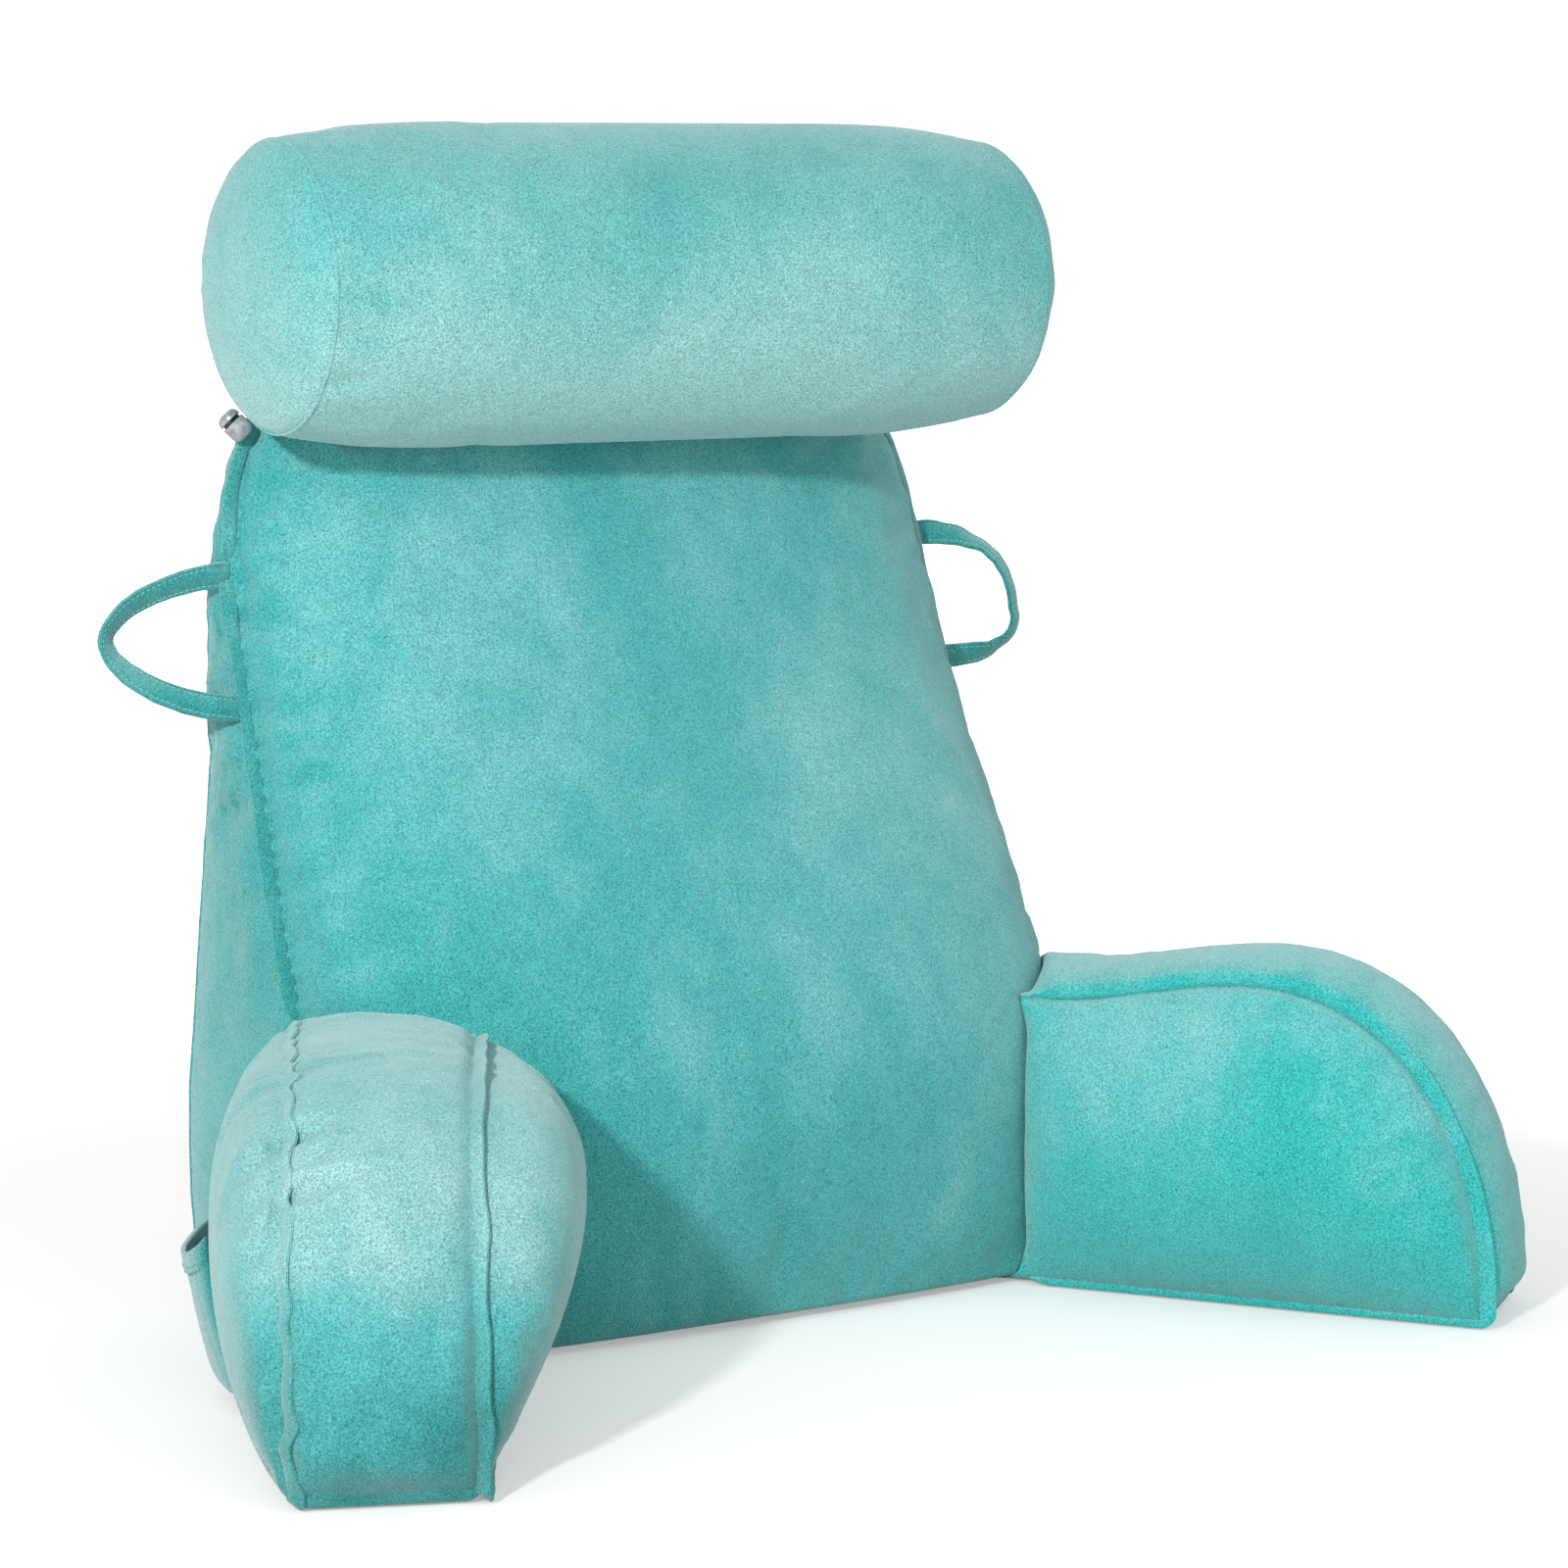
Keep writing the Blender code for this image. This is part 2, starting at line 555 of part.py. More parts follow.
def make_handle(row, finish, trimmer):
    behind = Vector((0, STRAP_BEHIND, 0))
    high, low = seam_at(row.high, row.side) + behind, seam_at(row.low, row.side) + behind
    heading = Vector((row.side * math.cos(row.heading), math.sin(row.heading), 0))
    normal = heading.cross(Vector((0, 0, 1)))
    centre = []
    for step in range(STRAP_STEPS + 1):
        turn = math.pi * step / STRAP_STEPS
        power = 2 / row.roundness
        out = row.reach * max(math.sin(turn), 0.0) ** power
        rise = math.copysign(abs(math.cos(turn)) ** power, math.cos(turn))
        swing = Vector((row.side * math.cos(row.heading) * out,
                        math.sin(row.heading) * out * out / row.reach, 0))
        centre.append(high.lerp(low, (1 - rise) / 2) + swing)
    inwards = Vector((-row.side * STRAP_ROOT_IN, 0, 0))
    centre.insert(0, high + inwards)
    centre.append(low + inwards)
    half_w, half_t, bevel = STRAP_WIDTH / 2, STRAP_THICK / 2, STRAP_BEVEL
    section = [(half_w - bevel, half_t), (-half_w + bevel, half_t), (-half_w, half_t - bevel),
               (-half_w, bevel - half_t), (bevel - half_w, -half_t), (half_w - bevel, -half_t),
               (half_w, bevel - half_t), (half_w, half_t - bevel)]
    points = []
    last = len(centre) - 1
    for k, p in enumerate(centre):
        ahead = (centre[min(k + 1, last)] - centre[max(k - 1, 0)]).normalized()
        place = min(max((k - 1) / (last - 2), 0.0), 1.0)
        share = ease(min(place, 1 - place) / row.twist)
        angle = math.radians(row.root_turn + (row.tip_turn - row.root_turn) * share)
        in_plane = ahead.cross(normal).normalized()
        wide = normal * math.cos(angle) + in_plane * math.sin(angle)
        thick = ahead.cross(wide).normalized()
        points += [p + wide * w + thick * t for w, t in section]
    count = len(section)
    faces = [list(range(count)), list(range(last * count, (last + 1) * count))]
    for k in range(last):
        for c in range(count):
            after = (c + 1) % count
            here, there = k * count, (k + 1) * count
            faces.append([here + c, here + after, there + after, there + c])
    made = solid(row.name, points, faces, finish)
    trim(made, trimmer)
    return made


# ---------------------------------------------------------------- stopper
def make_stopper(finish, trimmer):
    """Barrel with rounded ends and a slot across it, gripping the seam at the shoulder."""
    profile = []
    for step in range(STOPPER_STEPS + 1):
        turn = math.pi / 2 * step / STOPPER_STEPS
        profile.append((-STOPPER_LENGTH / 2 + STOPPER_ROUND * (1 - math.cos(turn)),
                        STOPPER_RADIUS - STOPPER_ROUND * (1 - math.sin(turn))))
    profile += [(-STOPPER_SLOT_AT - STOPPER_SLOT, STOPPER_RADIUS),
                (-STOPPER_SLOT_AT - STOPPER_SLOT, STOPPER_RADIUS * STOPPER_CORE),
                (-STOPPER_SLOT_AT, STOPPER_RADIUS * STOPPER_CORE),
                (-STOPPER_SLOT_AT, STOPPER_RADIUS)]
    profile += [(-x, radius) for x, radius in reversed(profile[:STOPPER_STEPS + 1])]
    points = []
    for x, radius in profile:
        for k in range(STOPPER_SIDES):
            turn = 2 * math.pi * k / STOPPER_SIDES
            points.append((x, radius * math.cos(turn), radius * math.sin(turn)))
    faces = [list(range(STOPPER_SIDES)),
             list(range(len(points) - STOPPER_SIDES, len(points)))]
    for s in range(len(profile) - 1):
        for k in range(STOPPER_SIDES):
            after = (k + 1) % STOPPER_SIDES
            a, b = s * STOPPER_SIDES, (s + 1) * STOPPER_SIDES
            faces.append([a + k, a + after, b + after, b + k])
    made = solid("stopper", points, faces, finish)
    made.location = STOPPER_AT
    made.rotation_euler = STOPPER_TURN
    trim(made, trimmer)
    return made


def main():
    for old in list(bpy.data.objects):
        bpy.data.objects.remove(old)
    velvet = (0.078, 0.480, 0.430)
    trimmer = make_back_trimmer(material("trimmer", (0.5, 0.5, 0.5), 0.8))
    make_back(material("back velvet", velvet, 0.75, sheen=0.5))
    make_arm(LEFT_ARM, material("left arm velvet", velvet, 0.75, sheen=0.5), trimmer)
    make_arm(RIGHT_ARM, material("right arm velvet", velvet, 0.75, sheen=0.5), trimmer)
    make_neck_roll(material("neck roll velvet", (0.160, 0.560, 0.510), 0.75, sheen=0.6))
    for row in HANDLES:
        make_handle(row, material(row.name + " velvet", velvet, 0.75, sheen=0.4), trimmer)
    make_pocket(material("pocket velvet", velvet, 0.75, sheen=0.5))
    make_stopper(material("clear grey plastic", (0.62, 0.64, 0.68), 0.25, see_through=0.4), trimmer)


main()
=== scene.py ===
"""Looks of the reading pillow with arms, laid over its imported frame. Metres, +Z up.

Each cushion is laid out from its cut panels, blown up by a short cloth simulation that holds its
seams, then gathered along the seams. Seam allowances, stitches, straps and the pocket are built
on the same seam lines. Left and right are as seen from the front.
"""

import json
import math
from collections import namedtuple

import bmesh
import bpy
import numpy as np
from mathutils import Euler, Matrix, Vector, noise
from mathutils.bvhtree import BVHTree
from mathutils.kdtree import KDTree

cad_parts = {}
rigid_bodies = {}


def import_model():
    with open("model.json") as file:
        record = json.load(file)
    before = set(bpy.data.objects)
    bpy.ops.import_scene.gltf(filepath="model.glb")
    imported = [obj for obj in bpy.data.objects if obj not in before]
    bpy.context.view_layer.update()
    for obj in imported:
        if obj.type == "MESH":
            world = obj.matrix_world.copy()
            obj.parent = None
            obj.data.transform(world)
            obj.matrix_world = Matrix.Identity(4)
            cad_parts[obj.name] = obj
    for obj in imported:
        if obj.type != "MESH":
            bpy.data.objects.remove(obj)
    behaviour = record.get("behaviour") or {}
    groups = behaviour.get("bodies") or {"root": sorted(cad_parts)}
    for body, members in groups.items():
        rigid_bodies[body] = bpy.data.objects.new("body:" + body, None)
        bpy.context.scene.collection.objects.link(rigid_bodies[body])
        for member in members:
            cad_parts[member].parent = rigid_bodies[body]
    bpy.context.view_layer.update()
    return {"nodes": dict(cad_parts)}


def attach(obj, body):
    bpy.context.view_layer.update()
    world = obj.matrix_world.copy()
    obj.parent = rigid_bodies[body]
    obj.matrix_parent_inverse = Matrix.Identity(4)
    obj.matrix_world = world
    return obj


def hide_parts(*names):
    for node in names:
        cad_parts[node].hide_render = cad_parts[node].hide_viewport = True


for old in list(bpy.data.objects):
    bpy.data.objects.remove(old)
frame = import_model()

CLEAR = 0.0006  # what a cushion keeps from its neighbour
FIRST_CLEAR = 0.0015  # the same for an arm before it is blown up
CUT_REACH = 0.2  # nothing of an arm lies deeper than this inside the back
BASE_RISE = 0.002  # how far the filling under them carries all sewn outlines off the floor
BASE_AT = 0.0008  # height of the cloth across a cushion's underside

# ---- cloth
CLOTH_FRAMES = 20
CLOTH_PRESSURE = 4.0
CLOTH_STIFFNESS = 12.0

# ---- seams
LIP_THICK = 0.0028
LIP_REST = 0.6  # what a lip's tip keeps off the cloth under it, in thicknesses
LIP_END = 0.15  # height of its ends, as a share of its own
BACK_LIP_FROM = 0.30  # share of the back's height above which its lip stands free
ARM_LIP_FROM = 0.05  # share of the arms' length from which theirs do
ROLL_WELTS = (0.0010, 0.0005)  # radius of the lines on the left and the right end seam
BACK_WELT = 0.0013
WELT_SIDES = 8
TRENCH_AT = 0.0024  # how far from a seam the groove beside it is deepest
TRENCH_WIDTH = 0.0024
GATHER_SWAY = 0.35  # how unevenly the folds follow each other, in turns of their pitch
CREASE_STEPS = 12
CREASE_START = 0.12  # how far into its rise a crease is where it leaves the seam
CREASE_BLUNT = 0.7  # under 1, its ends are blunter than a sine's
STITCH_PITCH = 0.0034
STITCH_LENGTH = 0.0026
STITCH_RADIUS = 0.00042
STITCH_RINGS = ((-0.5, 0.45), (-0.36, 0.95), (0.36, 0.95), (0.5, 0.45))  # place, size
STITCH_SIDES = 6

# ---- back cushion
BackRow = namedtuple("BackRow", "height half_width front_seam front_mid rear_seam rear_mid")
BACK_ROWS = [BackRow(*row) for row in (
    (0.003, 0.251, -0.078, -0.106, 0.112, 0.122),
    (0.050, 0.256, -0.060, -0.119, 0.117, 0.146),
    (0.120, 0.258, -0.033, -0.127, 0.117, 0.150),
    (0.180, 0.256, -0.012, -0.118, 0.112, 0.146),
    (0.240, 0.254, 0.009, -0.092, 0.107, 0.141),
    (0.300, 0.250, 0.034, -0.058, 0.104, 0.138),
    (0.360, 0.247, 0.058, -0.021, 0.107, 0.136),
    (0.420, 0.244, 0.078, 0.010, 0.110, 0.132),
    (0.470, 0.237, 0.090, 0.034, 0.109, 0.126),
    (0.500, 0.228, 0.095, 0.048, 0.110, 0.122),
    (0.525, 0.213, 0.099, 0.060, 0.112, 0.119),
    (0.541, 0.192, 0.102, 0.076, 0.114, 0.118),
)]
BACK_TOP_RISE = 0.019
BACK_TOP_FRONT = 0.108
BACK_TOP_REAR = 0.120
BACK_TOP_FROM = 0.88  # share of the height from which the panels close towards the top seam
BACK_FRONT_FULLNESS = 2.35
BACK_REAR_FULLNESS = 2.4
BACK_SIDE_CROWN = 0.004
BACK_SIDE_FULL = (0.1, 0.7)  # shares of the height between which the side strips are full
BACK_CELLS = (66, 84)
BACK_STRIP_ROWS = 14

# ---- neck roll
ROLL_CENTRE = Vector((-0.0115, 0.011, 0.6018))
ROLL_TURN = math.radians(-4)
ROLL_ALONG = Vector((math.cos(ROLL_TURN), math.sin(ROLL_TURN), 0))
ROLL_ACROSS = Vector((-math.sin(ROLL_TURN), math.cos(ROLL_TURN), 0))
ROLL_RADIUS = 0.0928
ROLL_SEAM_OUT = 0.233
ROLL_SEAM_RADIUS = 0.0828
ROLL_END_BULGE = 0.028
ROLL_END_CUT = 0.22  # how far past its widest the end's round starts, as a share of the bulge
ROLL_FULL = 0.40  # share of the half length over which the roll keeps its full radius
ROLL_SIDES = 96
ROLL_STATIONS = 80
ROLL_END_RINGS = 12
ROLL_SEAM_POINTS = 240

# ---- arms
ARM_SPLAY = math.radians(31.6)
ARM_CORNER = (0.180, -0.106)
ARM_INNER_LENGTH = 0.290
ARM_HEIGHT = 0.191
ARM_SUMMIT = 0.145
ARM_ROUND = 2.2
ARM_TURN = 0.72  # share of the way to the tip where the top becomes the front
ARM_DIP_OVER = 0.13  # how far behind the highest point it has sunk by its dip
ARM_PANEL_FULLNESS = 2.4
ARM_CELLS = (56, 44)
ARM_STRIP_ROWS = 18
ARM_STRIP_FROM = 0.04  # share of the length where the strip starts to fill
ARM_STRIP_OVER = (0.1, 0.2)  # shares of the length and height over which it fills
ARM_TENON = 0.030
ArmSeam = namedtuple("ArmSeam", "rear_out front_out rear_along crown foot head facing bow tilt")
Arm = namedtuple("Arm", "name mirror outer_length dip strip_crown inner outer")
LEFT_ARM = Arm(
    "arm_left", -1, 0.303, 0.004, 0.013,
    ArmSeam(0.008, 0.009, 0.004, 0.058, 0.92, 0.45, -1, 0.0005, 0.0045),
    ArmSeam(0.113, 0.103, -0.040, 0.0400, 0.48, 0.42, 1, 0.0045, 0.0040))
RIGHT_ARM = Arm(
    "arm_right", 1, 0.281, 0.016, 0.016,
    ArmSeam(0.008, 0.003, 0.004, 0.042, 0.80, 0.80, -1, 0.0, 0.0),
    ArmSeam(0.113, 0.097, -0.040, 0.043, 0.45, 0.42, 1, 0.0, 0.0))

# ---- handles
STRAP_WIDTH = 0.0150
STRAP_THICK = 0.0040
STRAP_STEPS = 120
STRAP_SIDES = 40
STRAP_BEHIND = 0.0065  # how far behind the seam its ends are sewn in
STRAP_SEAM = 0.0050  # how far its two lines of stitches are from its middle
STRAP_GROOVE, STRAP_GROOVE_WIDTH = 0.45, 0.0008  # how much thinner it is there
STRAP_SQUARE = (0.45, 0.7)  # exponents of its section across and through, 1 is an ellipse
STRAP_CRUMPLE, STRAP_BEND = 0.10, 0.0011
Handle = namedtuple(
    "Handle", "name side high low reach heading roundness root_turn tip_turn twist")
HANDLES = (
    Handle("handle_left", -1, 0.434, 0.359, 0.074, math.radians(22), 1.9, 80, 36, 0.50),
    Handle("handle_right", 1, 0.439, 0.362, 0.057, math.radians(-25), 3.0, 84, 26, 0.28),
)

# ---- pocket
POCKET_ALONG = (0.06, 0.45)
POCKET_UP = (0.02, 0.51)
POCKET_SAG = 0.09
POCKET_FULLEST = 1.3
POCKET_THICK = 0.0018
POCKET_OUT = (0.0415, 0.0535)  # how far out of the arm's seam plane it stands, foot and rim
POCKET_ROUND = (1.8, 8.0)  # exponents of its swell along and up
POCKET_LIFT = 0.0014  # what it keeps off the arm where it is sewn on
POCKET_UNEVEN = 0.0006
POCKET_HEM = 0.0012
POCKET_HEM_FROM = 0.84
POCKET_HEM_OVER = 0.02  # share of its height over which the hem gets thick
POCKET_GROOVE, POCKET_GROOVE_AT, POCKET_GROOVE_WIDTH = 0.7, 0.01, 0.012
POCKET_CELLS = (60, 50)

# ---- stopper
STOPPER_AT = Vector((-0.2350, 0.0918, 0.5215))
STOPPER_TURN = (0, math.radians(45), math.radians(-35))
STOPPER_SLOT_AT = -0.0029  # middle of its slot along its axis
STOPPER_SLOT = 0.0024

# ---- camera, from the photograph's fit
CAMERA_AT = (-1.60045, -2.44357, 0.66149)
CAMERA_TURN = (math.pi / 2 - 0.12094, 0, -0.60382)
CAMERA_LENS = 114.08


# ---- curves
def smooth(values, place):
    """Catmull-Rom curve through evenly placed values, at a place from 0 to 1."""
    last = len(values) - 1
    step = min(int(place * last), last - 1)
    t = place * last - step
    before = values[step - 1] if step else 2 * values[0] - values[1]
    after = values[step + 2] if step + 2 <= last else 2 * values[last] - values[last - 1]
    a, b = values[step], values[step + 1]
    return 0.5 * (
        2 * a + (b - before) * t + (2 * before - 5 * a + 4 * b - after) * t * t
        + (3 * a - before - 3 * b + after) * t**3
    )


def ease(t):
    t = min(max(t, 0.0), 1.0)
    return t * t * (3 - 2 * t)


def crown(t, fullness):
    """1 in the middle and 0 at t = -1 and 1, rounder for a larger fullness."""
    return max(1 - abs(t) ** fullness, 0.0) ** (1 / fullness)


def even(count):
    """Places from 0 to 1, a little closer together towards both ends."""
    return [((1 - math.cos(math.pi * i / count)) / 2 + i / count) / 2 for i in range(count + 1)]


# ---- the cushions' own shapes
def roll_radius(along):
    """Radius of the neck roll: full in the middle, drawn in at its end seams, then rounded off."""
    past = (abs(along) - ROLL_SEAM_OUT) / ROLL_END_BULGE
    if past > 0:
        start = ROLL_END_CUT / (1 + ROLL_END_CUT)
        place = min(start + past * (1 - start), 1.0)
        return ROLL_SEAM_RADIUS * math.sqrt((1 - place**2) / (1 - start**2))
    slack = max((abs(along) / ROLL_SEAM_OUT - ROLL_FULL) / (1 - ROLL_FULL), 0.0) ** 3
    return ROLL_RADIUS + (ROLL_SEAM_RADIUS - ROLL_RADIUS) * slack


def roll_point(along, turn):
    across = ROLL_ACROSS * math.cos(turn) + Vector((0, 0, 1)) * math.sin(turn)
    return ROLL_CENTRE + ROLL_ALONG * along + across * roll_radius(along)


def back_column(name, place):
    return smooth([getattr(row, name) for row in BACK_ROWS], place)


def back_point(across, up, panel):
    """Point of the front or rear panel, for across from -1 to 1 and up from 0 to 1."""
    x = across * back_column("half_width", up)
    z = back_column("height", up) + BACK_TOP_RISE * up**4 * (1 - abs(across) ** 4) + BASE_RISE
    seam = back_column(panel + "_seam", up)
    top = BACK_TOP_FRONT if panel == "front" else BACK_TOP_REAR
    mid = back_column(panel + "_mid", up)
    mid += (top - mid) * ease((up - BACK_TOP_FROM) / (1 - BACK_TOP_FROM))
    fullness = BACK_FRONT_FULLNESS if panel == "front" else BACK_REAR_FULLNESS
    y = seam + (mid - seam) * crown(across, fullness)
    return Vector((x, y, z))


def panel_length(arm, seam):
    return arm.outer_length if seam.facing > 0 else ARM_INNER_LENGTH


def arm_top(arm, seam, along):
    if along > ARM_SUMMIT:
        share = min((along - ARM_SUMMIT) / (panel_length(arm, seam) - ARM_SUMMIT), 1.0)
        return ARM_HEIGHT * crown(share, ARM_ROUND)
    return ARM_HEIGHT - arm.dip * ease((ARM_SUMMIT - along) / ARM_DIP_OVER)


def arm_outline(arm, seam, side, t):
    """(along, height) on one side of the panel's outline: bottom, front, top or rear."""
    length = panel_length(arm, seam)
    turn = ARM_SUMMIT + (length - ARM_SUMMIT) * ARM_TURN
    if side == "bottom":
        return seam.rear_along + (length - seam.rear_along) * t, LIP_THICK
    if side == "rear":
        return seam.rear_along, LIP_THICK + (arm_top(arm, seam, seam.rear_along) - LIP_THICK) * t
    if side == "top":
        along = seam.rear_along + (turn - seam.rear_along) * t
        return along, arm_top(arm, seam, along)
    height = LIP_THICK + (arm_top(arm, seam, turn) - LIP_THICK) * t
    share = (1 - (height / ARM_HEIGHT) ** ARM_ROUND) ** (1 / ARM_ROUND)
    return ARM_SUMMIT + (length - ARM_SUMMIT) * share, height


def arm_flat(arm, seam, a, b):
    """(along, height) inside the outline, for a from rear to front and b from floor to top."""
    bottom, top = arm_outline(arm, seam, "bottom", a), arm_outline(arm, seam, "top", a)
    rear, front = arm_outline(arm, seam, "rear", b), arm_outline(arm, seam, "front", b)
    corners = [arm_outline(arm, seam, side, t) for side, t in
               (("bottom", 0), ("bottom", 1), ("top", 0), ("top", 1))]
    return [
        (1 - b) * bottom[n] + b * top[n] + (1 - a) * rear[n] + a * front[n]
        - (1 - a) * (1 - b) * corners[0][n] - a * (1 - b) * corners[1][n]
        - (1 - a) * b * corners[2][n] - a * b * corners[3][n]
        for n in (0, 1)
    ]


def arm_swell(seam, a, b):
    both = seam.foot + seam.head
    peak = (seam.foot / both) ** seam.foot * (seam.head / both) ** seam.head
    return b**seam.foot * (1 - b) ** seam.head / peak * crown(2 * a - 1, ARM_PANEL_FULLNESS)


def arm_point(arm, seam, a, b, lift=0.0):
    """Point of an arm's panel in the world, lifted off it by lift. A negative a is the tenon."""
    along, height = arm_flat(arm, seam, max(a, 0.0), b)
    along += min(a, 0.0) * ARM_TENON
    reach = (along - seam.rear_along) / (panel_length(arm, seam) - seam.rear_along)
    out = seam.rear_out + (seam.front_out - seam.rear_out) * ease(reach)
    share = min(height / ARM_HEIGHT, 1.0)
    out += seam.bow * crown(2 * share - 1, 2.0) + seam.tilt * share
    out += seam.facing * (seam.crown * arm_swell(seam, max(a, 0.0), b) + lift)
    x = ARM_CORNER[0] + along * math.sin(ARM_SPLAY) + out * math.cos(ARM_SPLAY)
    y = ARM_CORNER[1] - along * math.cos(ARM_SPLAY) + out * math.sin(ARM_SPLAY)
    return Vector((arm.mirror * x, y, height + BASE_RISE))


# ---- meshes
def add(name, data):
    made = bpy.data.objects.new(name, data)
    bpy.context.scene.collection.objects.link(made)
    return made


def piece(name, points, faces, finish):
    """A smooth mesh object from points and faces, with its faces turned outwards."""
    mesh = bpy.data.meshes.new(name)
    mesh.from_pydata([tuple(p) for p in points], [], faces)
    work = bmesh.new()
    work.from_mesh(mesh)
    bmesh.ops.recalc_face_normals(work, faces=work.faces)
    work.to_mesh(mesh)
    work.free()
    mesh.shade_smooth()
    mesh.materials.append(finish)
    return add(name, mesh)


def surface(made):
    """Search tree of a piece's faces as they are now."""
    return BVHTree.FromObject(made, bpy.context.evaluated_depsgraph_get())


def vectors(made, kind="co"):
    """Its points' places, or with "normal" the ways off its surface there."""
    flat = np.empty(len(made.data.vertices) * 3, np.float32)
    made.data.vertices.foreach_get(kind, flat)
    return flat.reshape(-1, 3).astype(float)


def set_places(made, points):
    made.data.vertices.foreach_set("co", points.astype(np.float32).ravel())
    made.data.update()


def subdivide(made):
    step = made.modifiers.new("subdivide", "SUBSURF")
    step.levels = step.render_levels = 1
    graph = bpy.context.evaluated_depsgraph_get()
    mesh = bpy.data.meshes.new_from_object(made.evaluated_get(graph))
    made.modifiers.clear()
    made.data = mesh
    mesh.shade_smooth()


def grid_faces(columns, rows, first):
    """Faces of a grid of points, column by column from the one with the number first."""
    corners = [first + i * (rows + 1) + j for i in range(columns) for j in range(rows)]
    return [[c, c + rows + 1, c + rows + 2, c + 1] for c in corners]


def tube_faces(rings, sides, first=0, closed=False):
    """Faces between rings of points that follow each other, and round again if closed."""
    faces = []
    for ring in range(rings if closed else rings - 1):
        a, b = first + ring * sides, first + (ring + 1) % rings * sides
        faces += [[a + k, a + (k + 1) % sides, b + (k + 1) % sides, b + k] for k in range(sides)]
    return faces


def end_faces(rings, sides, first=0):
    last = first + (rings - 1) * sides
    return [list(range(first, first + sides)), list(range(last, last + sides))]


def rim_of(columns, rows):
    """(column, row) of the places round a grid: bottom, front, top and rear."""
    rim = [(i, 0) for i in range(columns)]
    rim += [(columns, j) for j in range(rows)]
    rim += [(columns - i, rows) for i in range(columns)]
    rim += [(0, rows - j) for j in range(rows)]
    return rim


Cushion = namedtuple("Cushion", "points faces held seams")
# A place on a seam: the ways out of its panel and off its face, whether it is on the floor, and
# its shares of the panel's length and height.
SeamPoint = namedtuple("SeamPoint", "at out off bottom i j")


def boxed_cushion(first, second, facing, strip_rows, strip_crown):
    """A cushion of two panels with a strip of cloth between their rims."""
    columns, rows = len(first) - 1, len(first[0]) - 1
    rim = rim_of(columns, rows)
    around = len(rim)
    points = [p for grid in (first, second) for column in grid for p in column]
    block = (columns + 1) * (rows + 1)
    held = set()

    def index(grid, place):
        return grid * block + place[0] * (rows + 1) + place[1]

    def outward(grid, k):
        ahead = grid[rim[(k + 1) % around][0]][rim[(k + 1) % around][1]]
        behind = grid[rim[k - 1][0]][rim[k - 1][1]]
        return (ahead - behind).cross(facing).normalized()

    loops = [[index(0, place) for place in rim]]
    for row in range(1, strip_rows):
        t = row / strip_rows
        loop = []
        for k, (i, j) in enumerate(rim):
            out = (outward(first, k) + outward(second, k)).normalized()
            swell = 0.0 if j == 0 else strip_crown(i / columns, j / rows)
            p = first[i][j].lerp(second[i][j], t) + out * swell * crown(2 * t - 1, 2.0)
            if j == 0:
                p.z = BASE_AT
                held.add(len(points))
            loop.append(len(points))
            points.append(p)
        loops.append(loop)
    loops.append([index(1, place) for place in rim])
    held.update(loops[0])
    held.update(loops[-1])

    faces = grid_faces(columns, rows, 0) + grid_faces(columns, rows, block)
    for low, high in zip(loops, loops[1:]):
        for k in range(around):
            after = (k + 1) % around
            faces.append([low[k], low[after], high[after], high[k]])
    seams = []
    for grid, way in ((first, 1), (second, -1)):
        seams.append([SeamPoint(grid[i][j].copy(), outward(grid, k), facing * way, j == 0,
                                i / columns, j / rows) for k, (i, j) in enumerate(rim)])
    return Cushion(points, faces, held, seams)


# ---- cloth
def blow_up(made, held, cap, growth, bending):
    """Lets the cloth swell and wrinkle with its seams held. No point moves further than cap."""
    start = vectors(made)
    pins = made.vertex_groups.new(name="held")
    pins.add(sorted(held), 1.0, "REPLACE")
    cloth = made.modifiers.new("cloth", "CLOTH")
    settings = cloth.settings
    settings.quality = 6
    settings.mass = 0.3
    settings.vertex_group_mass = "held"
    settings.tension_stiffness = settings.compression_stiffness = CLOTH_STIFFNESS
    settings.shear_stiffness = CLOTH_STIFFNESS / 3
    settings.bending_stiffness = bending
    settings.use_pressure = True
    settings.uniform_pressure_force = CLOTH_PRESSURE
    settings.shrink_min = settings.shrink_max = -growth
    settings.effector_weights.gravity = 0.0
    cloth.point_cache.frame_start = 1
    cloth.point_cache.frame_end = CLOTH_FRAMES
    scene = bpy.context.scene
    for frame_number in range(1, CLOTH_FRAMES + 1):
        scene.frame_set(frame_number)
    moved = vectors(made.evaluated_get(bpy.context.evaluated_depsgraph_get())) - start
    made.modifiers.clear()
    scene.frame_set(1)
    length = np.linalg.norm(moved, axis=1)
    share = cap * np.tanh(length / cap) / np.maximum(length, 1e-9)
    set_places(made, start + moved * share[:, None])


def keep_clear(made, other, gap=CLEAR):
    """Moves what lies inside another piece, or nearer than the gap, to its surface."""
    tree = surface(other)
    points, others = vectors(made), vectors(other)
    near = ((points > others.min(0) - gap) & (points < others.max(0) + gap)).all(1)
    for n in np.flatnonzero(near):
        p = Vector(points[n])
        place, normal, _, far = tree.find_nearest(p)
        if (p - place).dot(normal) < 0 or far < gap:
            points[n] = place + normal * gap
    points[:, 2] = np.maximum(points[:, 2], 0.0)
    set_places(made, points)


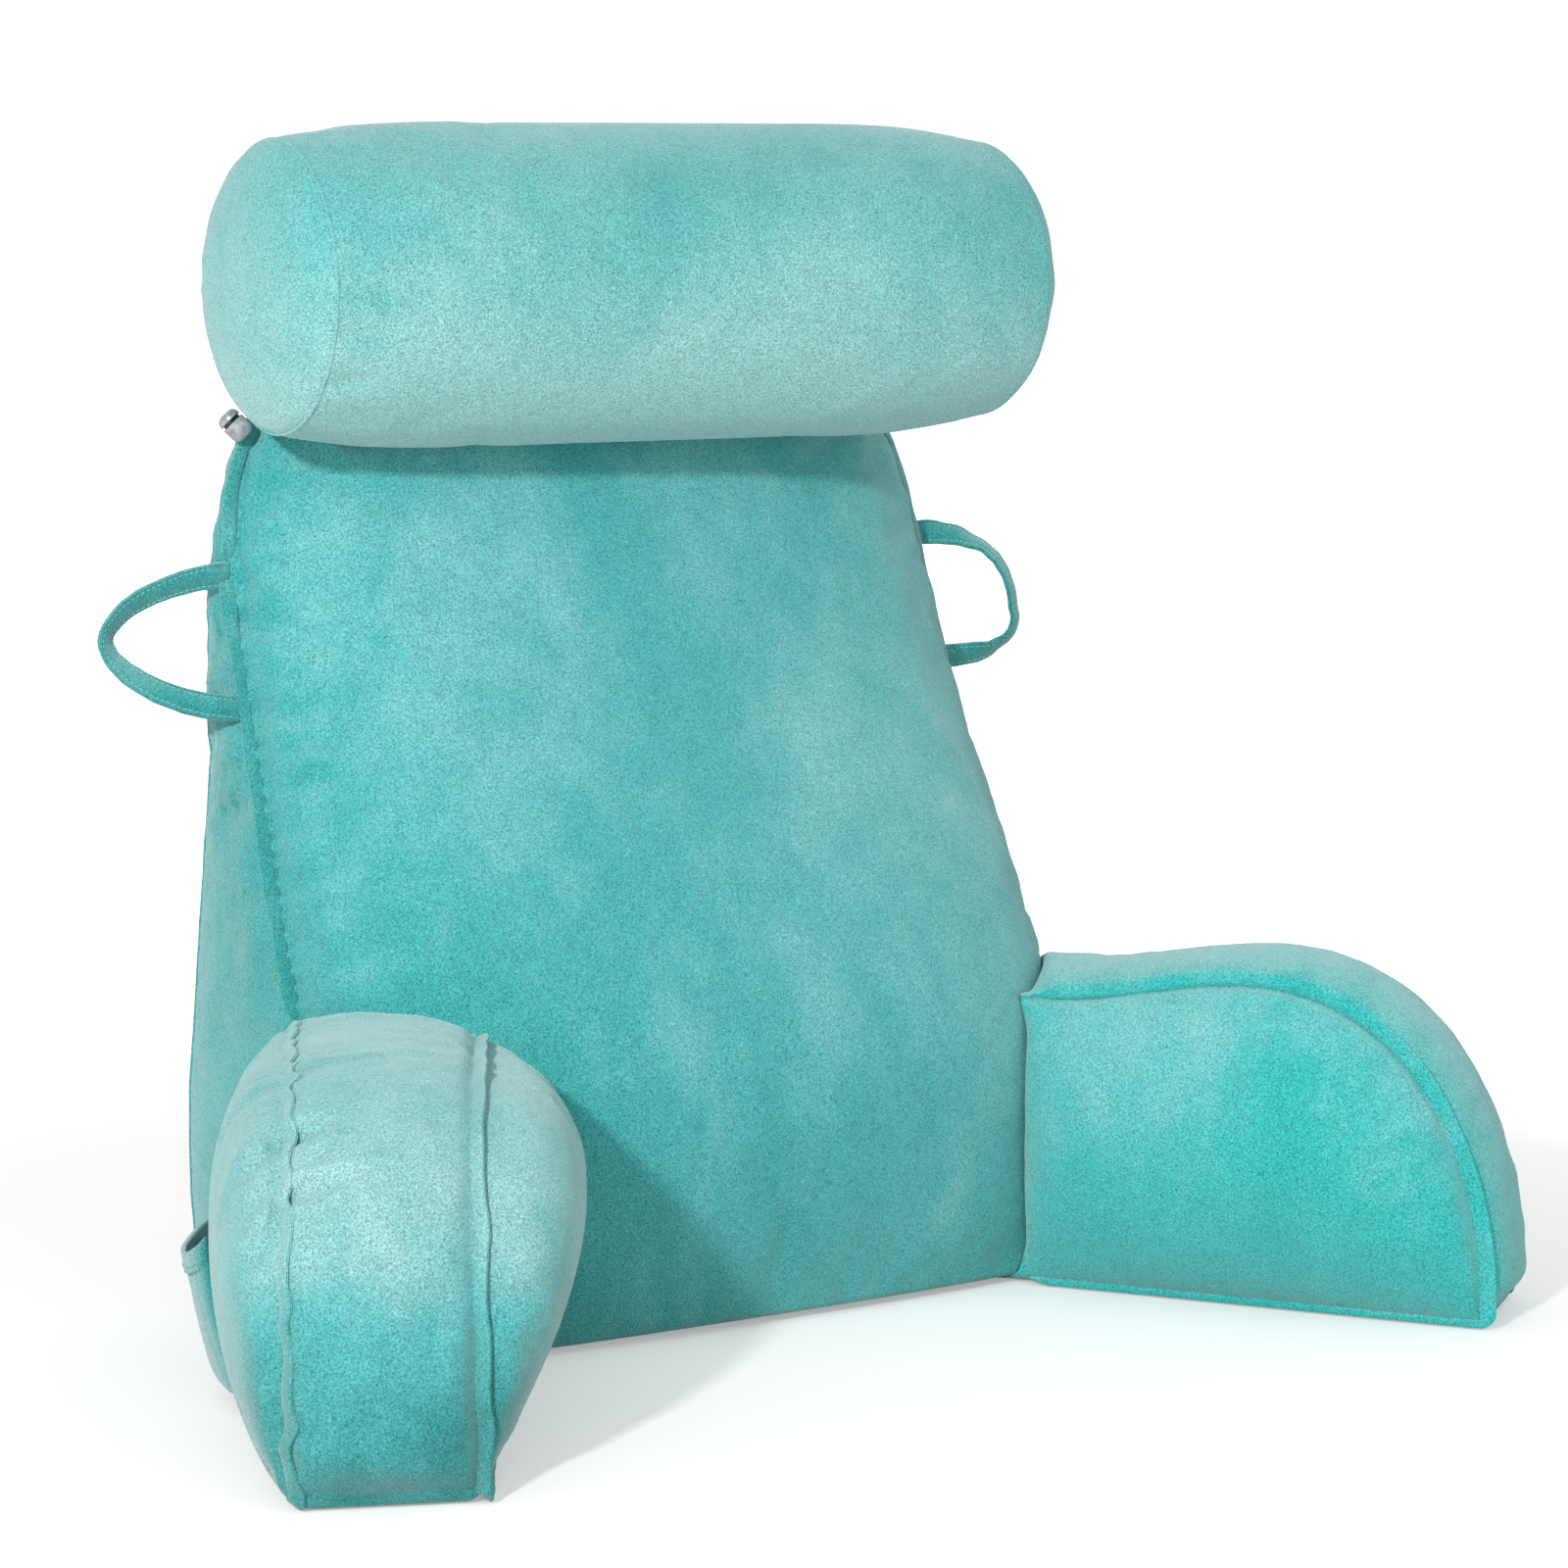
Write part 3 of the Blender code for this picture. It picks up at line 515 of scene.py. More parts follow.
def cut_back(made, other, way, gap=CLEAR):
    """Draws what lies inside another piece forward, along way, to just outside that piece.
    Returns the numbers of the points that it moved.
    """
    tree = surface(other)
    points = vectors(made)
    touched = set()
    for n in range(len(points)):
        p = Vector(points[n])
        place, normal, _, far = tree.find_nearest(p)
        if far > CUT_REACH:
            continue
        if (p - place).dot(normal) < 0:
            hit, facing, _, _ = tree.ray_cast(p, way)
            if hit is not None and facing.dot(way) > 0:
                p = hit + way * gap
            else:
                p = place + normal * gap
            touched.add(n)
        elif far < gap:
            p = place + normal * gap
            touched.add(n)
        points[n] = p
    points[:, 2] = np.maximum(points[:, 2], 0.0)
    set_places(made, points)
    return touched


def gather(made, seams, depth, reach, pitch, seed, trench=0.0, strip_trench=0.0):
    """Small folds that run off the seams into the panels, as where cloth is sewn a little full,
    and a trench beside them where the thread draws the cloth in, on the panel's and strip's sides.
    """
    tree = KDTree(sum(len(s) for s in seams))
    lengths = []
    for s, seam in enumerate(seams):
        far = 0.0
        for k, p in enumerate(seam):
            far += (p.at - seam[k - 1].at).length if k else 0.0
            lengths.append((far, s, p))
            tree.insert(p.at, len(lengths) - 1)
    tree.balance()
    points, off = vectors(made), vectors(made, "normal")
    for n in range(len(points)):
        p = Vector(points[n])
        _, k, far = tree.find(p)
        along, s, near = lengths[k]
        if far > 4 * reach or near.bottom:
            continue
        phase = along / pitch + GATHER_SWAY * noise.noise(p / (3 * pitch))
        here = noise.noise(Vector((phase, 7.3 * s + seed, 0.6 * far / reach)))
        strength = 0.55 + 0.9 * noise.noise(Vector((along / (5 * pitch), seed + 3.1, s)))
        rise = far / reach * math.exp(1 - far / reach) if far > 0 else 0.0
        on_panel = (p - near.at).dot(near.out) < (p - near.at).dot(near.off)
        drawn = trench if on_panel else strip_trench
        drawn *= math.exp(-(((far - TRENCH_AT) / TRENCH_WIDTH) ** 2))
        points[n] += off[n] * (depth * here * max(strength, 0.1) * rise - drawn)
    set_places(made, points)


# A crease runs from a place on a seam, a way across and a way down from there, for its length.
Crease = namedtuple("Crease", "height across down length depth width")


def crease(made, seam, seam_across, front, rows):
    """Soft valleys that start at a seam. Each starts on the seam's front half, at its height."""
    tree = surface(made)
    points, off = vectors(made), vectors(made, "normal")
    for row in rows:
        stride = row.length / CREASE_STEPS
        start = min((p for p in seam if front(p)), key=lambda p: abs(p.at.z - row.height)).at
        way = seam_across * row.across + Vector((0, 0, -1)) * row.down
        place, normal, _, _ = tree.find_nearest(start)
        steps = []
        for step in range(CREASE_STEPS + 1):
            share = min(step / CREASE_STEPS + CREASE_START, 1.0)
            steps.append((place, math.sin(math.pi * share) ** CREASE_BLUNT))
            flat = (way - normal * way.dot(normal)).normalized()
            place, normal, _, _ = tree.find_nearest(place + flat * stride)
        for place, share in steps:
            gap = points - np.array(place)
            near = np.exp(-(gap**2).sum(1) / row.width**2) * share
            near *= row.depth * row.width / (stride * math.sqrt(math.pi))
            points -= off * near[:, None]
    set_places(made, points)


# ---- seam allowances and stitches
# How an allowance lies: its height, how far it leans from the panel's own plane towards the way
# the panel faces, how much it waves, how long its waves are, how its ends fade, and how far its
# foot strays to either side of the seam.
Lip = namedtuple("Lip", "height lean wave length fade meander")
BACK_FRONT_LIP = Lip(0.0072, math.radians(-30), 0.35, 0.020, 0.030, 0.0012)
LEFT_INNER_LIP = Lip(0.0078, math.radians(58), 0.15, 0.022, 0.012, 0.0008)
LEFT_OUTER_LIP = Lip(0.0076, math.radians(-58), 0.25, 0.013, 0.012, 0.0030)
RIGHT_INNER_LIP = Lip(0.0080, math.radians(-8), 0.10, 0.035, 0.020, 0.0)
RIGHT_OUTER_LIP = Lip(0.0050, math.radians(-62), 0.05, 0.030, 0.020, 0.0)
# The left strap's upper end pulls the back's side seam towards the rear.
KINK, KINK_HEIGHT, KINK_LENGTH = 0.010, 0.438, 0.009
# Round both layers: share of the height, and how many thicknesses across.
LIP_SECTION = (
    (-0.25, -0.40), (0.30, -0.55), (0.75, -0.50), (0.97, -0.36), (1.00, -0.12), (0.88, 0.00),
    (1.00, 0.12), (0.97, 0.36), (0.75, 0.50), (0.30, 0.55), (-0.25, 0.40),
)


def arc_of(seam, wanted):
    """The unbroken stretch of a closed seam on which wanted is true."""
    count = len(seam)
    first = next(k for k in range(count) if wanted(seam[k]) and not wanted(seam[k - 1]))
    run = []
    while len(run) < count and wanted(seam[(first + len(run)) % count]):
        run.append(seam[(first + len(run)) % count])
    return run


def make_lip(name, seam, wanted, row, finish, seed, parent):
    """The two layers of a seam allowance, lying a little wavy along a seam on its cushion."""
    run = arc_of(seam, wanted)
    tree = surface(parent)
    far = [0.0]
    for k in range(1, len(run)):
        far.append(far[-1] + (run[k].at - run[k - 1].at).length)
    points = []
    for p, along in zip(run, far):
        wave = noise.noise(Vector((along / row.length, seed, 0.5)))
        fold = noise.noise(Vector((along / row.length * 0.7 + 5.0, seed, 2.5)))
        end = ease(min(along, far[-1] - along) / row.fade)
        lean = row.lean * (1 + 0.6 * row.wave * fold)
        foot = p.at
        if row.meander:
            stray = noise.noise(Vector((along / row.length, seed + 8.0, 1.5)))
            stray *= row.meander * 2 * end
            if p.at.x < 0:
                stray -= KINK * math.exp(-(((p.at.z - KINK_HEIGHT) / KINK_LENGTH) ** 2))
            foot = tree.find_nearest(p.at + p.off * stray)[0]
        stand = p.out * math.cos(lean) + p.off * math.sin(lean)
        across = p.out * math.sin(lean) - p.off * math.cos(lean)
        height = row.height * (LIP_END + (1 - LIP_END) * end) * (1 + row.wave * wave)
        if stand.z < -0.2:
            height = min(height, (foot.z - CLEAR) / -stand.z)
        tip = foot + stand * height
        under, facing, _, _ = tree.find_nearest(tip)
        if (tip - under).dot(facing) < LIP_THICK * LIP_REST:
            tip = under + facing * LIP_THICK * LIP_REST
            stand = (p.out * (tip - foot).dot(p.out) + p.off * (tip - foot).dot(p.off)).normalized()
            lean = math.atan2(stand.dot(p.off), stand.dot(p.out))
            across = p.out * math.sin(lean) - p.off * math.cos(lean)
        sway = across * LIP_THICK * 0.5 * row.wave * fold
        for up, wide in LIP_SECTION:
            q = foot + stand * height * up + across * LIP_THICK * wide + sway * up
            q.z = max(q.z, 0.0)
            points.append(q)
    faces = tube_faces(len(run), len(LIP_SECTION)) + end_faces(len(run), len(LIP_SECTION))
    made = piece(name, points, faces, finish)
    subdivide(made)
    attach(made, "root")
    made.parent = parent


def make_welt(name, seam, radius, finish, parent):
    """A thin raised line round a closed seam."""
    tree = surface(parent)
    points = []
    for p in seam:
        foot = tree.find_nearest(p.at)[0]
        for turn in range(WELT_SIDES):
            angle = 2 * math.pi * turn / WELT_SIDES
            points.append(foot + (p.out * math.cos(angle) + p.off * math.sin(angle)) * radius)
    made = piece(name, points, tube_faces(len(seam), WELT_SIDES, closed=True), finish)
    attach(made, "root")
    made.parent = parent


def make_stitches(name, lines, parent):
    """Thread dashes along lines of (point, way off the cloth)."""
    points, faces = [], []
    for line in lines:
        carry = STITCH_PITCH / 2
        for (a, off_a), (b, off_b) in zip(line, line[1:]):
            far = (b - a).length
            if far < 1e-7:
                continue
            way = (b - a) / far
            while carry < far:
                up = off_a.lerp(off_b, carry / far).normalized()
                middle = a + way * carry + up * STITCH_RADIUS * 0.5
                side = way.cross(up).normalized()
                shape = (len(STITCH_RINGS), STITCH_SIDES, len(points))
                faces += tube_faces(*shape) + end_faces(*shape)
                for place, size in STITCH_RINGS:
                    for turn in range(STITCH_SIDES):
                        angle = 2 * math.pi * turn / STITCH_SIDES
                        off = side * math.cos(angle) + up * math.sin(angle)
                        points.append(
                            middle + way * STITCH_LENGTH * place + off * STITCH_RADIUS * size)
                carry += STITCH_PITCH
            carry -= far
    made = piece(name, points, faces, THREAD)
    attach(made, "root")
    made.parent = parent


# ---- materials
def node(tree, kind, inputs=(), **settings):
    """A new node. Each of its inputs is set to a value or linked to another node's output."""
    made = tree.nodes.new(kind)
    for key, value in settings.items():
        setattr(made, key, value)
    for name, value in inputs:
        if isinstance(value, bpy.types.NodeSocket):
            tree.links.new(value, made.inputs[name])
        else:
            made.inputs[name].default_value = value
    return made


def maths(tree, operation, *values):
    return node(tree, "ShaderNodeMath", enumerate(values), operation=operation).outputs[0]


def ramp(tree, source, *stops):
    """Colour from a value by (place, colour) stops."""
    made = node(tree, "ShaderNodeValToRGB", [("Fac", source)])
    ends = made.color_ramp.elements
    for end, (place, colour) in zip(ends, (stops[0], stops[-1])):
        end.position, end.color = place, (*colour, 1)
    for place, colour in stops[1:-1]:
        ends.new(place).color = (*colour, 1)
    return made.outputs["Color"]


def material(name, values):
    """A new material, its node tree and its shader with these values."""
    made = bpy.data.materials.new(name)
    made.use_nodes = True
    shader = made.node_tree.nodes["Principled BSDF"]
    for key, value in values:
        shader.inputs[key].default_value = value
    return made, made.node_tree, shader


def plain(name, colour, roughness):
    return material(name, [("Base Color", (*colour, 1)), ("Roughness", roughness)])[0]


# Pale tone of the painted sheen that the velvet is blended towards at grazing angles.
PAINTED_SHEEN_TONE = (0.450, 0.670, 0.670)
# light is the way that surfaces facing it are painted paler, as painted light and shade, lean how
# strongly, level where it looks middling, rim how pale it is painted at grazing angles, a painted
# sheen, rise how much paler its top is than its foot, and patches how strongly it changes from
# place to place.
Pile = namedtuple("Pile", "light lean level rim rise patches")
RISE_FROM, RISE_TO = 0.01, 0.18
BACK_PILE = Pile((0.06, -0.40, 0.91), 0.45, 0.47, 0.45, 0.0, 1.0)
ROLL_PILE = Pile((-0.30, -0.25, 0.92), -0.62, 0.45, 0.30, 0.0, 1.1)
LEFT_PILE = Pile((-0.35, -0.50, 0.20), 0.60, 0.54, 0.62, 0.72, 0.9)
RIGHT_PILE = Pile((-0.30, -0.10, 0.95), 0.45, 0.35, 0.50, 0.0, 0.8)
TRIM_PILE = Pile((-0.30, -0.25, 0.92), 0.35, 0.40, 0.80, 0.0, 1.1)


PATCH_SCALE = 6.0
GRAIN_SCALE, GRAIN = 900.0, 1.9


def velvet(name, pile, deep, middle, pale, seed=0.0):
    """Short pressed pile: soft patches where it leans to and fro, a pebbly grain, painted light and
    shade by the way the surface faces, and a painted sheen at its rim.
    """
    made, tree, shader = material(name, (
        ("Roughness", 0.85), ("Specular IOR Level", 0.15), ("Sheen Weight", 0.6),
        ("Sheen Roughness", 0.35), ("Sheen Tint", (0.85, 1.0, 1.0, 1))))
    place = node(tree, "ShaderNodeTexCoord").outputs
    shifted = node(tree, "ShaderNodeMapping", (
        ("Vector", place["Object"]), ("Location", (seed, seed * 0.7, seed * 1.3)),
        ("Scale", (1.0, 1.0, 0.65)))).outputs["Vector"]

    def texture(source, scale, detail, roughness, distortion):
        return node(tree, "ShaderNodeTexNoise", (
            ("Vector", source), ("Scale", scale), ("Detail", detail), ("Roughness", roughness),
            ("Distortion", distortion))).outputs["Fac"]

    def scaled(source, amount, before):
        """before + (source - 0.5) * amount"""
        return maths(tree, "MULTIPLY_ADD", maths(tree, "SUBTRACT", source, 0.5), amount, before)

    big = texture(shifted, PATCH_SCALE, 2.0, 0.5, 0.8)
    small = texture(shifted, PATCH_SCALE * 6, 3.0, 0.6, 0.3)
    fine = texture(place["Object"], GRAIN_SCALE, 1.0, 0.6, 0.4)
    # Painted light and shade: the colour is paler or darker by how the surface faces pile.light.
    lit = node(tree, "ShaderNodeVectorMath", ((0, place["Normal"]), (1, pile.light)),
               operation="DOT_PRODUCT").outputs["Value"]
    painted_light_and_shade = maths(tree, "MULTIPLY_ADD", lit, pile.lean, 0.5 - pile.lean * pile.level)
    height = node(tree, "ShaderNodeSeparateXYZ", [(0, place["Object"])]).outputs["Z"]
    rising = node(tree, "ShaderNodeMapRange", (
        ("Value", height), ("From Min", RISE_FROM), ("From Max", RISE_TO),
        ("To Min", -pile.rise / 2), ("To Max", pile.rise / 2)), interpolation_type="SMOOTHSTEP")
    risen = maths(tree, "ADD", painted_light_and_shade, rising.outputs["Result"])
    shade = scaled(small, 0.6, scaled(big, pile.patches, risen))
    colour = ramp(tree, shade, (0.0, deep), (0.5, middle), (1.0, pale))
    specks = maths(tree, "MULTIPLY_ADD", fine, GRAIN, 1 - GRAIN / 2)
    grained = node(tree, "ShaderNodeVectorMath", ((0, colour), ("Scale", specks)),
                   operation="SCALE")
    # Painted sheen: the colour is blended towards a pale tone at grazing angles.
    rim = node(tree, "ShaderNodeLayerWeight", [("Blend", 0.30)])
    edge = maths(tree, "MULTIPLY", rim.outputs["Facing"], pile.rim)
    paler = node(tree, "ShaderNodeMix", (
        ("Factor", edge), ("A", grained.outputs["Vector"]), ("B", (*PAINTED_SHEEN_TONE, 1))),
        data_type="RGBA")
    tree.links.new(paler.outputs["Result"], shader.inputs["Base Color"])
    bump = node(tree, "ShaderNodeBump", (("Strength", 0.9), ("Distance", 0.0012), ("Height", fine)))
    soft = node(tree, "ShaderNodeBump", (
        ("Strength", 0.35), ("Distance", 0.004), ("Height", small),
        ("Normal", bump.outputs["Normal"])))
    tree.links.new(soft.outputs["Normal"], shader.inputs["Normal"])
    return made


# The cushions are one velvet. Each piece's copy is toned lighter or darker to stand for the light
# on it: painted light and shade.
DEEP, MIDDLE, PALE = (0.018, 0.345, 0.330), (0.070, 0.450, 0.448), (0.240, 0.610, 0.612)
BACK_VELVET = velvet("back velvet", BACK_PILE, DEEP, MIDDLE, PALE)
LEFT_VELVET = velvet("left arm velvet", LEFT_PILE, (0.018, 0.235, 0.228),
                     (0.095, 0.450, 0.448), (0.330, 0.600, 0.600), 2.0)
RIGHT_VELVET = velvet("right arm velvet", RIGHT_PILE, (0.018, 0.450, 0.432),
                      (0.052, 0.540, 0.528), (0.250, 0.640, 0.632), 3.0)
ROLL_VELVET = velvet("roll velvet", ROLL_PILE, (0.065, 0.420, 0.408), (0.160, 0.530, 0.520),
                     (0.330, 0.660, 0.650), 5.0)
TRIM_VELVET = velvet("strap velvet", TRIM_PILE, (0.014, 0.250, 0.240), (0.045, 0.350, 0.340),
                     (0.180, 0.530, 0.520), 7.0)
THREAD = plain("thread", (0.200, 0.560, 0.540), 0.6)


# ---- neck roll
# Dimples beside its left end seam.
ROLL_CREASES = (
    Crease(0.620, 1.0, 0.30, 0.090, 0.0008, 0.0080),
    Crease(0.603, 1.0, 0.15, 0.060, 0.0008, 0.0070),
    Crease(0.575, 1.0, -0.15, 0.040, 0.0007, 0.0060),
    Crease(0.548, 1.0, -0.35, 0.036, 0.0007, 0.0060),
)


def make_roll():
    stations = [-1 + 2 * i / ROLL_STATIONS for i in range(ROLL_STATIONS + 1)]
    ends = [math.sin(math.pi / 2 * i / ROLL_END_RINGS) for i in range(1, ROLL_END_RINGS)]
    places = [-ROLL_SEAM_OUT - ROLL_END_BULGE * e for e in reversed(ends)]
    places += [ROLL_SEAM_OUT * s for s in stations]
    places += [ROLL_SEAM_OUT + ROLL_END_BULGE * e for e in ends]
    points = [roll_point(a, 2 * math.pi * k / ROLL_SIDES)
              for a in places for k in range(ROLL_SIDES)]
    faces = tube_faces(len(places), ROLL_SIDES)
    for side, first in ((-1, 0), (1, (len(places) - 1) * ROLL_SIDES)):
        tip = len(points)
        points.append(ROLL_CENTRE + ROLL_ALONG * side * (ROLL_SEAM_OUT + ROLL_END_BULGE))
        faces += [[first + k, first + (k + 1) % ROLL_SIDES, tip] for k in range(ROLL_SIDES)]
    made = piece("roll_cover", points, faces, ROLL_VELVET)
    held = set()
    for s, place in enumerate(places):
        if abs(abs(place) - ROLL_SEAM_OUT) < 1e-6:
            held.update(range(s * ROLL_SIDES, (s + 1) * ROLL_SIDES))
    blow_up(made, held, cap=0.0014, growth=0.002, bending=4.0)
    subdivide(made)
    seams = []
    for side in (-1, 1):
        seam = []
        for k in range(ROLL_SEAM_POINTS):
            turn = 2 * math.pi * k / ROLL_SEAM_POINTS
            at = roll_point(side * ROLL_SEAM_OUT, turn)
            out = (at - ROLL_CENTRE - ROLL_ALONG * side * ROLL_SEAM_OUT).normalized()
            seam.append(SeamPoint(at, out, ROLL_ALONG * side, False, 0.0, 0.5))
        seams.append(seam)
    gather(made, seams, depth=0.0010, reach=0.020, pitch=0.016, seed=4.0)
    crease(made, seams[0], ROLL_ALONG, lambda p: p.out.dot(ROLL_ACROSS) < 0, ROLL_CREASES)
    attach(made, "root")
    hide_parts("neck_roll")
    return made, seams


# ---- back cushion
# Pulls in the front panel beside the left handle's ends.
BACK_CREASES = (
    Crease(0.447, 1.0, -0.25, 0.050, 0.0020, 0.0050),
    Crease(0.432, 1.0, 0.05, 0.065, 0.0024, 0.0055),
    Crease(0.416, 1.0, 0.35, 0.050, 0.0020, 0.0050),
    Crease(0.358, 1.0, -0.10, 0.040, 0.0016, 0.0050),
)


def make_back(roll):
    across = [2 * p - 1 for p in even(BACK_CELLS[0])]
    up = even(BACK_CELLS[1])
    front = [[back_point(a, b, "front") for b in up] for a in across]
    rear = [[back_point(a, b, "rear") for b in up] for a in across]

    def side_crown(i, j):
        low, high = BACK_SIDE_FULL
        return BACK_SIDE_CROWN * ease(j / low) * (1 - ease((j - high) / (1 - high)))

    shape = boxed_cushion(front, rear, Vector((0, -1, 0)), BACK_STRIP_ROWS, side_crown)
    made = piece("back_cover", shape.points, shape.faces, BACK_VELVET)
    blow_up(made, shape.held, cap=0.006, growth=0.012, bending=0.6)
    subdivide(made)
    gather(made, shape.seams[:1], depth=0.006, reach=0.022, pitch=0.016, seed=1.0, trench=0.0042)
    gather(made, shape.seams[1:], depth=0.003, reach=0.022, pitch=0.016, seed=1.0)
    crease(made, shape.seams[0], Vector((1, 0, 0)), lambda p: p.at.x < 0 and not p.bottom,
           BACK_CREASES)
    keep_clear(made, roll)
    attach(made, "root")
    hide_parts("back_cushion")
    return made, shape.seams


# ---- arms
# Puckers of the left arm where its strip and its outer panel were sewn a little full.
STRIP_CREASES = (
    Crease(0.172, 1.0, -0.30, 0.036, 0.0072, 0.0050),
    Crease(0.160, 1.0, -0.15, 0.050, 0.0024, 0.0026),
    Crease(0.150, 1.0, -0.10, 0.036, 0.0070, 0.0046),
    Crease(0.144, 1.0, -0.55, 0.050, 0.0026, 0.0028),
)
PANEL_CREASES = (
    Crease(0.176, 1.0, 1.2, 0.036, 0.0022, 0.0040),
    Crease(0.160, 1.0, 1.5, 0.044, 0.0026, 0.0044),
    Crease(0.143, 1.0, 1.6, 0.044, 0.0024, 0.0042),
)
# Each arm's cloth, how full its seams are gathered, how deep they draw its strip in, and its lips.
ArmLook = namedtuple("ArmLook", "velvet gathers strip_trench lips")
ARM_LOOKS = {
    LEFT_ARM: ArmLook(LEFT_VELVET, 0.005, 0.0018, (LEFT_INNER_LIP, LEFT_OUTER_LIP)),
    RIGHT_ARM: ArmLook(RIGHT_VELVET, 0.002, 0.0, (RIGHT_INNER_LIP, RIGHT_OUTER_LIP)),
}


def make_arm(arm, back):
    along = [-1.0, -0.5, *even(ARM_CELLS[0])]
    up = even(ARM_CELLS[1])
    inner = [[arm_point(arm, arm.inner, a, b) for b in up] for a in along]
    outer = [[arm_point(arm, arm.outer, a, b) for b in up] for a in along]
    facing = Vector((-arm.mirror * math.cos(ARM_SPLAY), -math.sin(ARM_SPLAY), 0))
    if arm.mirror < 0:
        inner.reverse()
        outer.reverse()

    def from_rear(i):
        return 1 - i if arm.mirror < 0 else i

    def strip(i, j):
        fills = ease((from_rear(i) - ARM_STRIP_FROM) / ARM_STRIP_OVER[0])
        return arm.strip_crown * fills * ease(j / ARM_STRIP_OVER[1])

    shape = boxed_cushion(inner, outer, facing, ARM_STRIP_ROWS, strip)
    look = ARM_LOOKS[arm]
    made = piece(arm.name + "_cover", shape.points, shape.faces, look.velvet)
    forwards = Vector((arm.mirror * math.sin(ARM_SPLAY), -math.cos(ARM_SPLAY), 0))
    touched = cut_back(made, back, forwards, FIRST_CLEAR)
    blow_up(made, shape.held | touched, cap=0.005, growth=0.005, bending=2.0)
    subdivide(made)
    gather(made, shape.seams, depth=look.gathers, reach=0.020, pitch=0.015,
           seed=2.0 + arm.mirror, trench=0.0022, strip_trench=look.strip_trench)
    if arm is LEFT_ARM:

        def front(p):
            return p.i < 0.5 and not p.bottom

        crease(made, shape.seams[1], facing, front, STRIP_CREASES)
        crease(made, shape.seams[1], -facing, front, PANEL_CREASES)
    cut_back(made, back, forwards)
    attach(made, "root")
    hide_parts(arm.name)
    return made, shape.seams


# ---- pocket
def make_pocket():
    columns, rows = POCKET_CELLS
    inside = []
    for i in range(columns + 1):
        u = i / columns
        a = POCKET_ALONG[0] + (POCKET_ALONG[1] - POCKET_ALONG[0]) * u
        column = []
        for j in range(rows + 1):
            v = j / rows
            rim = POCKET_UP[1] - POCKET_SAG * crown(2 * u - 1, 2.0)
            b = POCKET_UP[0] + (rim - POCKET_UP[0]) * v
            stand = POCKET_OUT[0] + (POCKET_OUT[1] - POCKET_OUT[0]) * v
            stand -= LEFT_ARM.outer.crown * arm_swell(LEFT_ARM.outer, a, b)
            stand *= crown(2 * u**POCKET_FULLEST - 1, POCKET_ROUND[0])
            stand *= crown(1 - v, POCKET_ROUND[1])
            stand += POCKET_UNEVEN * noise.noise(Vector((u * 6, v * 5, 2.0))) * crown(1 - v, 2.0)
            column.append(arm_point(LEFT_ARM, LEFT_ARM.outer, a, b, POCKET_LIFT + stand))
        inside.append(column)

    def off_cloth(i, j):
        ahead = inside[min(i + 1, columns)][j] - inside[max(i - 1, 0)][j]
        rise = inside[i][min(j + 1, rows)] - inside[i][max(j - 1, 0)]
        off = rise.cross(ahead).normalized()
        return off if off.x < 0 else -off

    outside = []
    for i in range(columns + 1):
        column = []
        for j in range(rows + 1):
            v = j / rows
            past = v - POCKET_HEM_FROM
            hem = ease(past / POCKET_HEM_OVER)
            groove = math.exp(-(((past - POCKET_GROOVE_AT) / POCKET_GROOVE_WIDTH) ** 2))
            thick = POCKET_THICK + POCKET_HEM * (hem - POCKET_GROOVE * groove)
            column.append(inside[i][j] + off_cloth(i, j) * thick)
        outside.append(column)
    skins = [[p for column in grid for p in column] for grid in (inside, outside)]
    size = (columns + 1) * (rows + 1)
    faces = grid_faces(columns, rows, 0) + grid_faces(columns, rows, size)
    rim = [i * (rows + 1) + j for i, j in rim_of(columns, rows)]
    for k, here in enumerate(rim):
        after = rim[(k + 1) % len(rim)]
        faces.append([here, after, after + size, here + size])
    made = piece("pocket_cloth", skins[0] + skins[1], faces, TRIM_VELVET)
    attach(made, "root")
    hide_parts("pocket")

    def on_cloth(i, j):
        return outside[i][j], off_cloth(i, j)

    lines = [[on_cloth(i, j) for i in range(2, columns - 1)] for j in (rows - 7, rows - 5)]
    lines += [[on_cloth(i, j) for j in range(5, rows + 1)]
              for i in (2, 5, columns - 5, columns - 2)]
    make_stitches("pocket_stitches", lines, made)


# ---- handles
def seam_at(height, side):
    """Place at a height on the back's side seam."""
    low, high = 0.0, 1.0
    for _ in range(30):
        middle = (low + high) / 2
        if back_column("height", middle) < height:
            low = middle
        else:
            high = middle
    return back_point(side, low, "front")


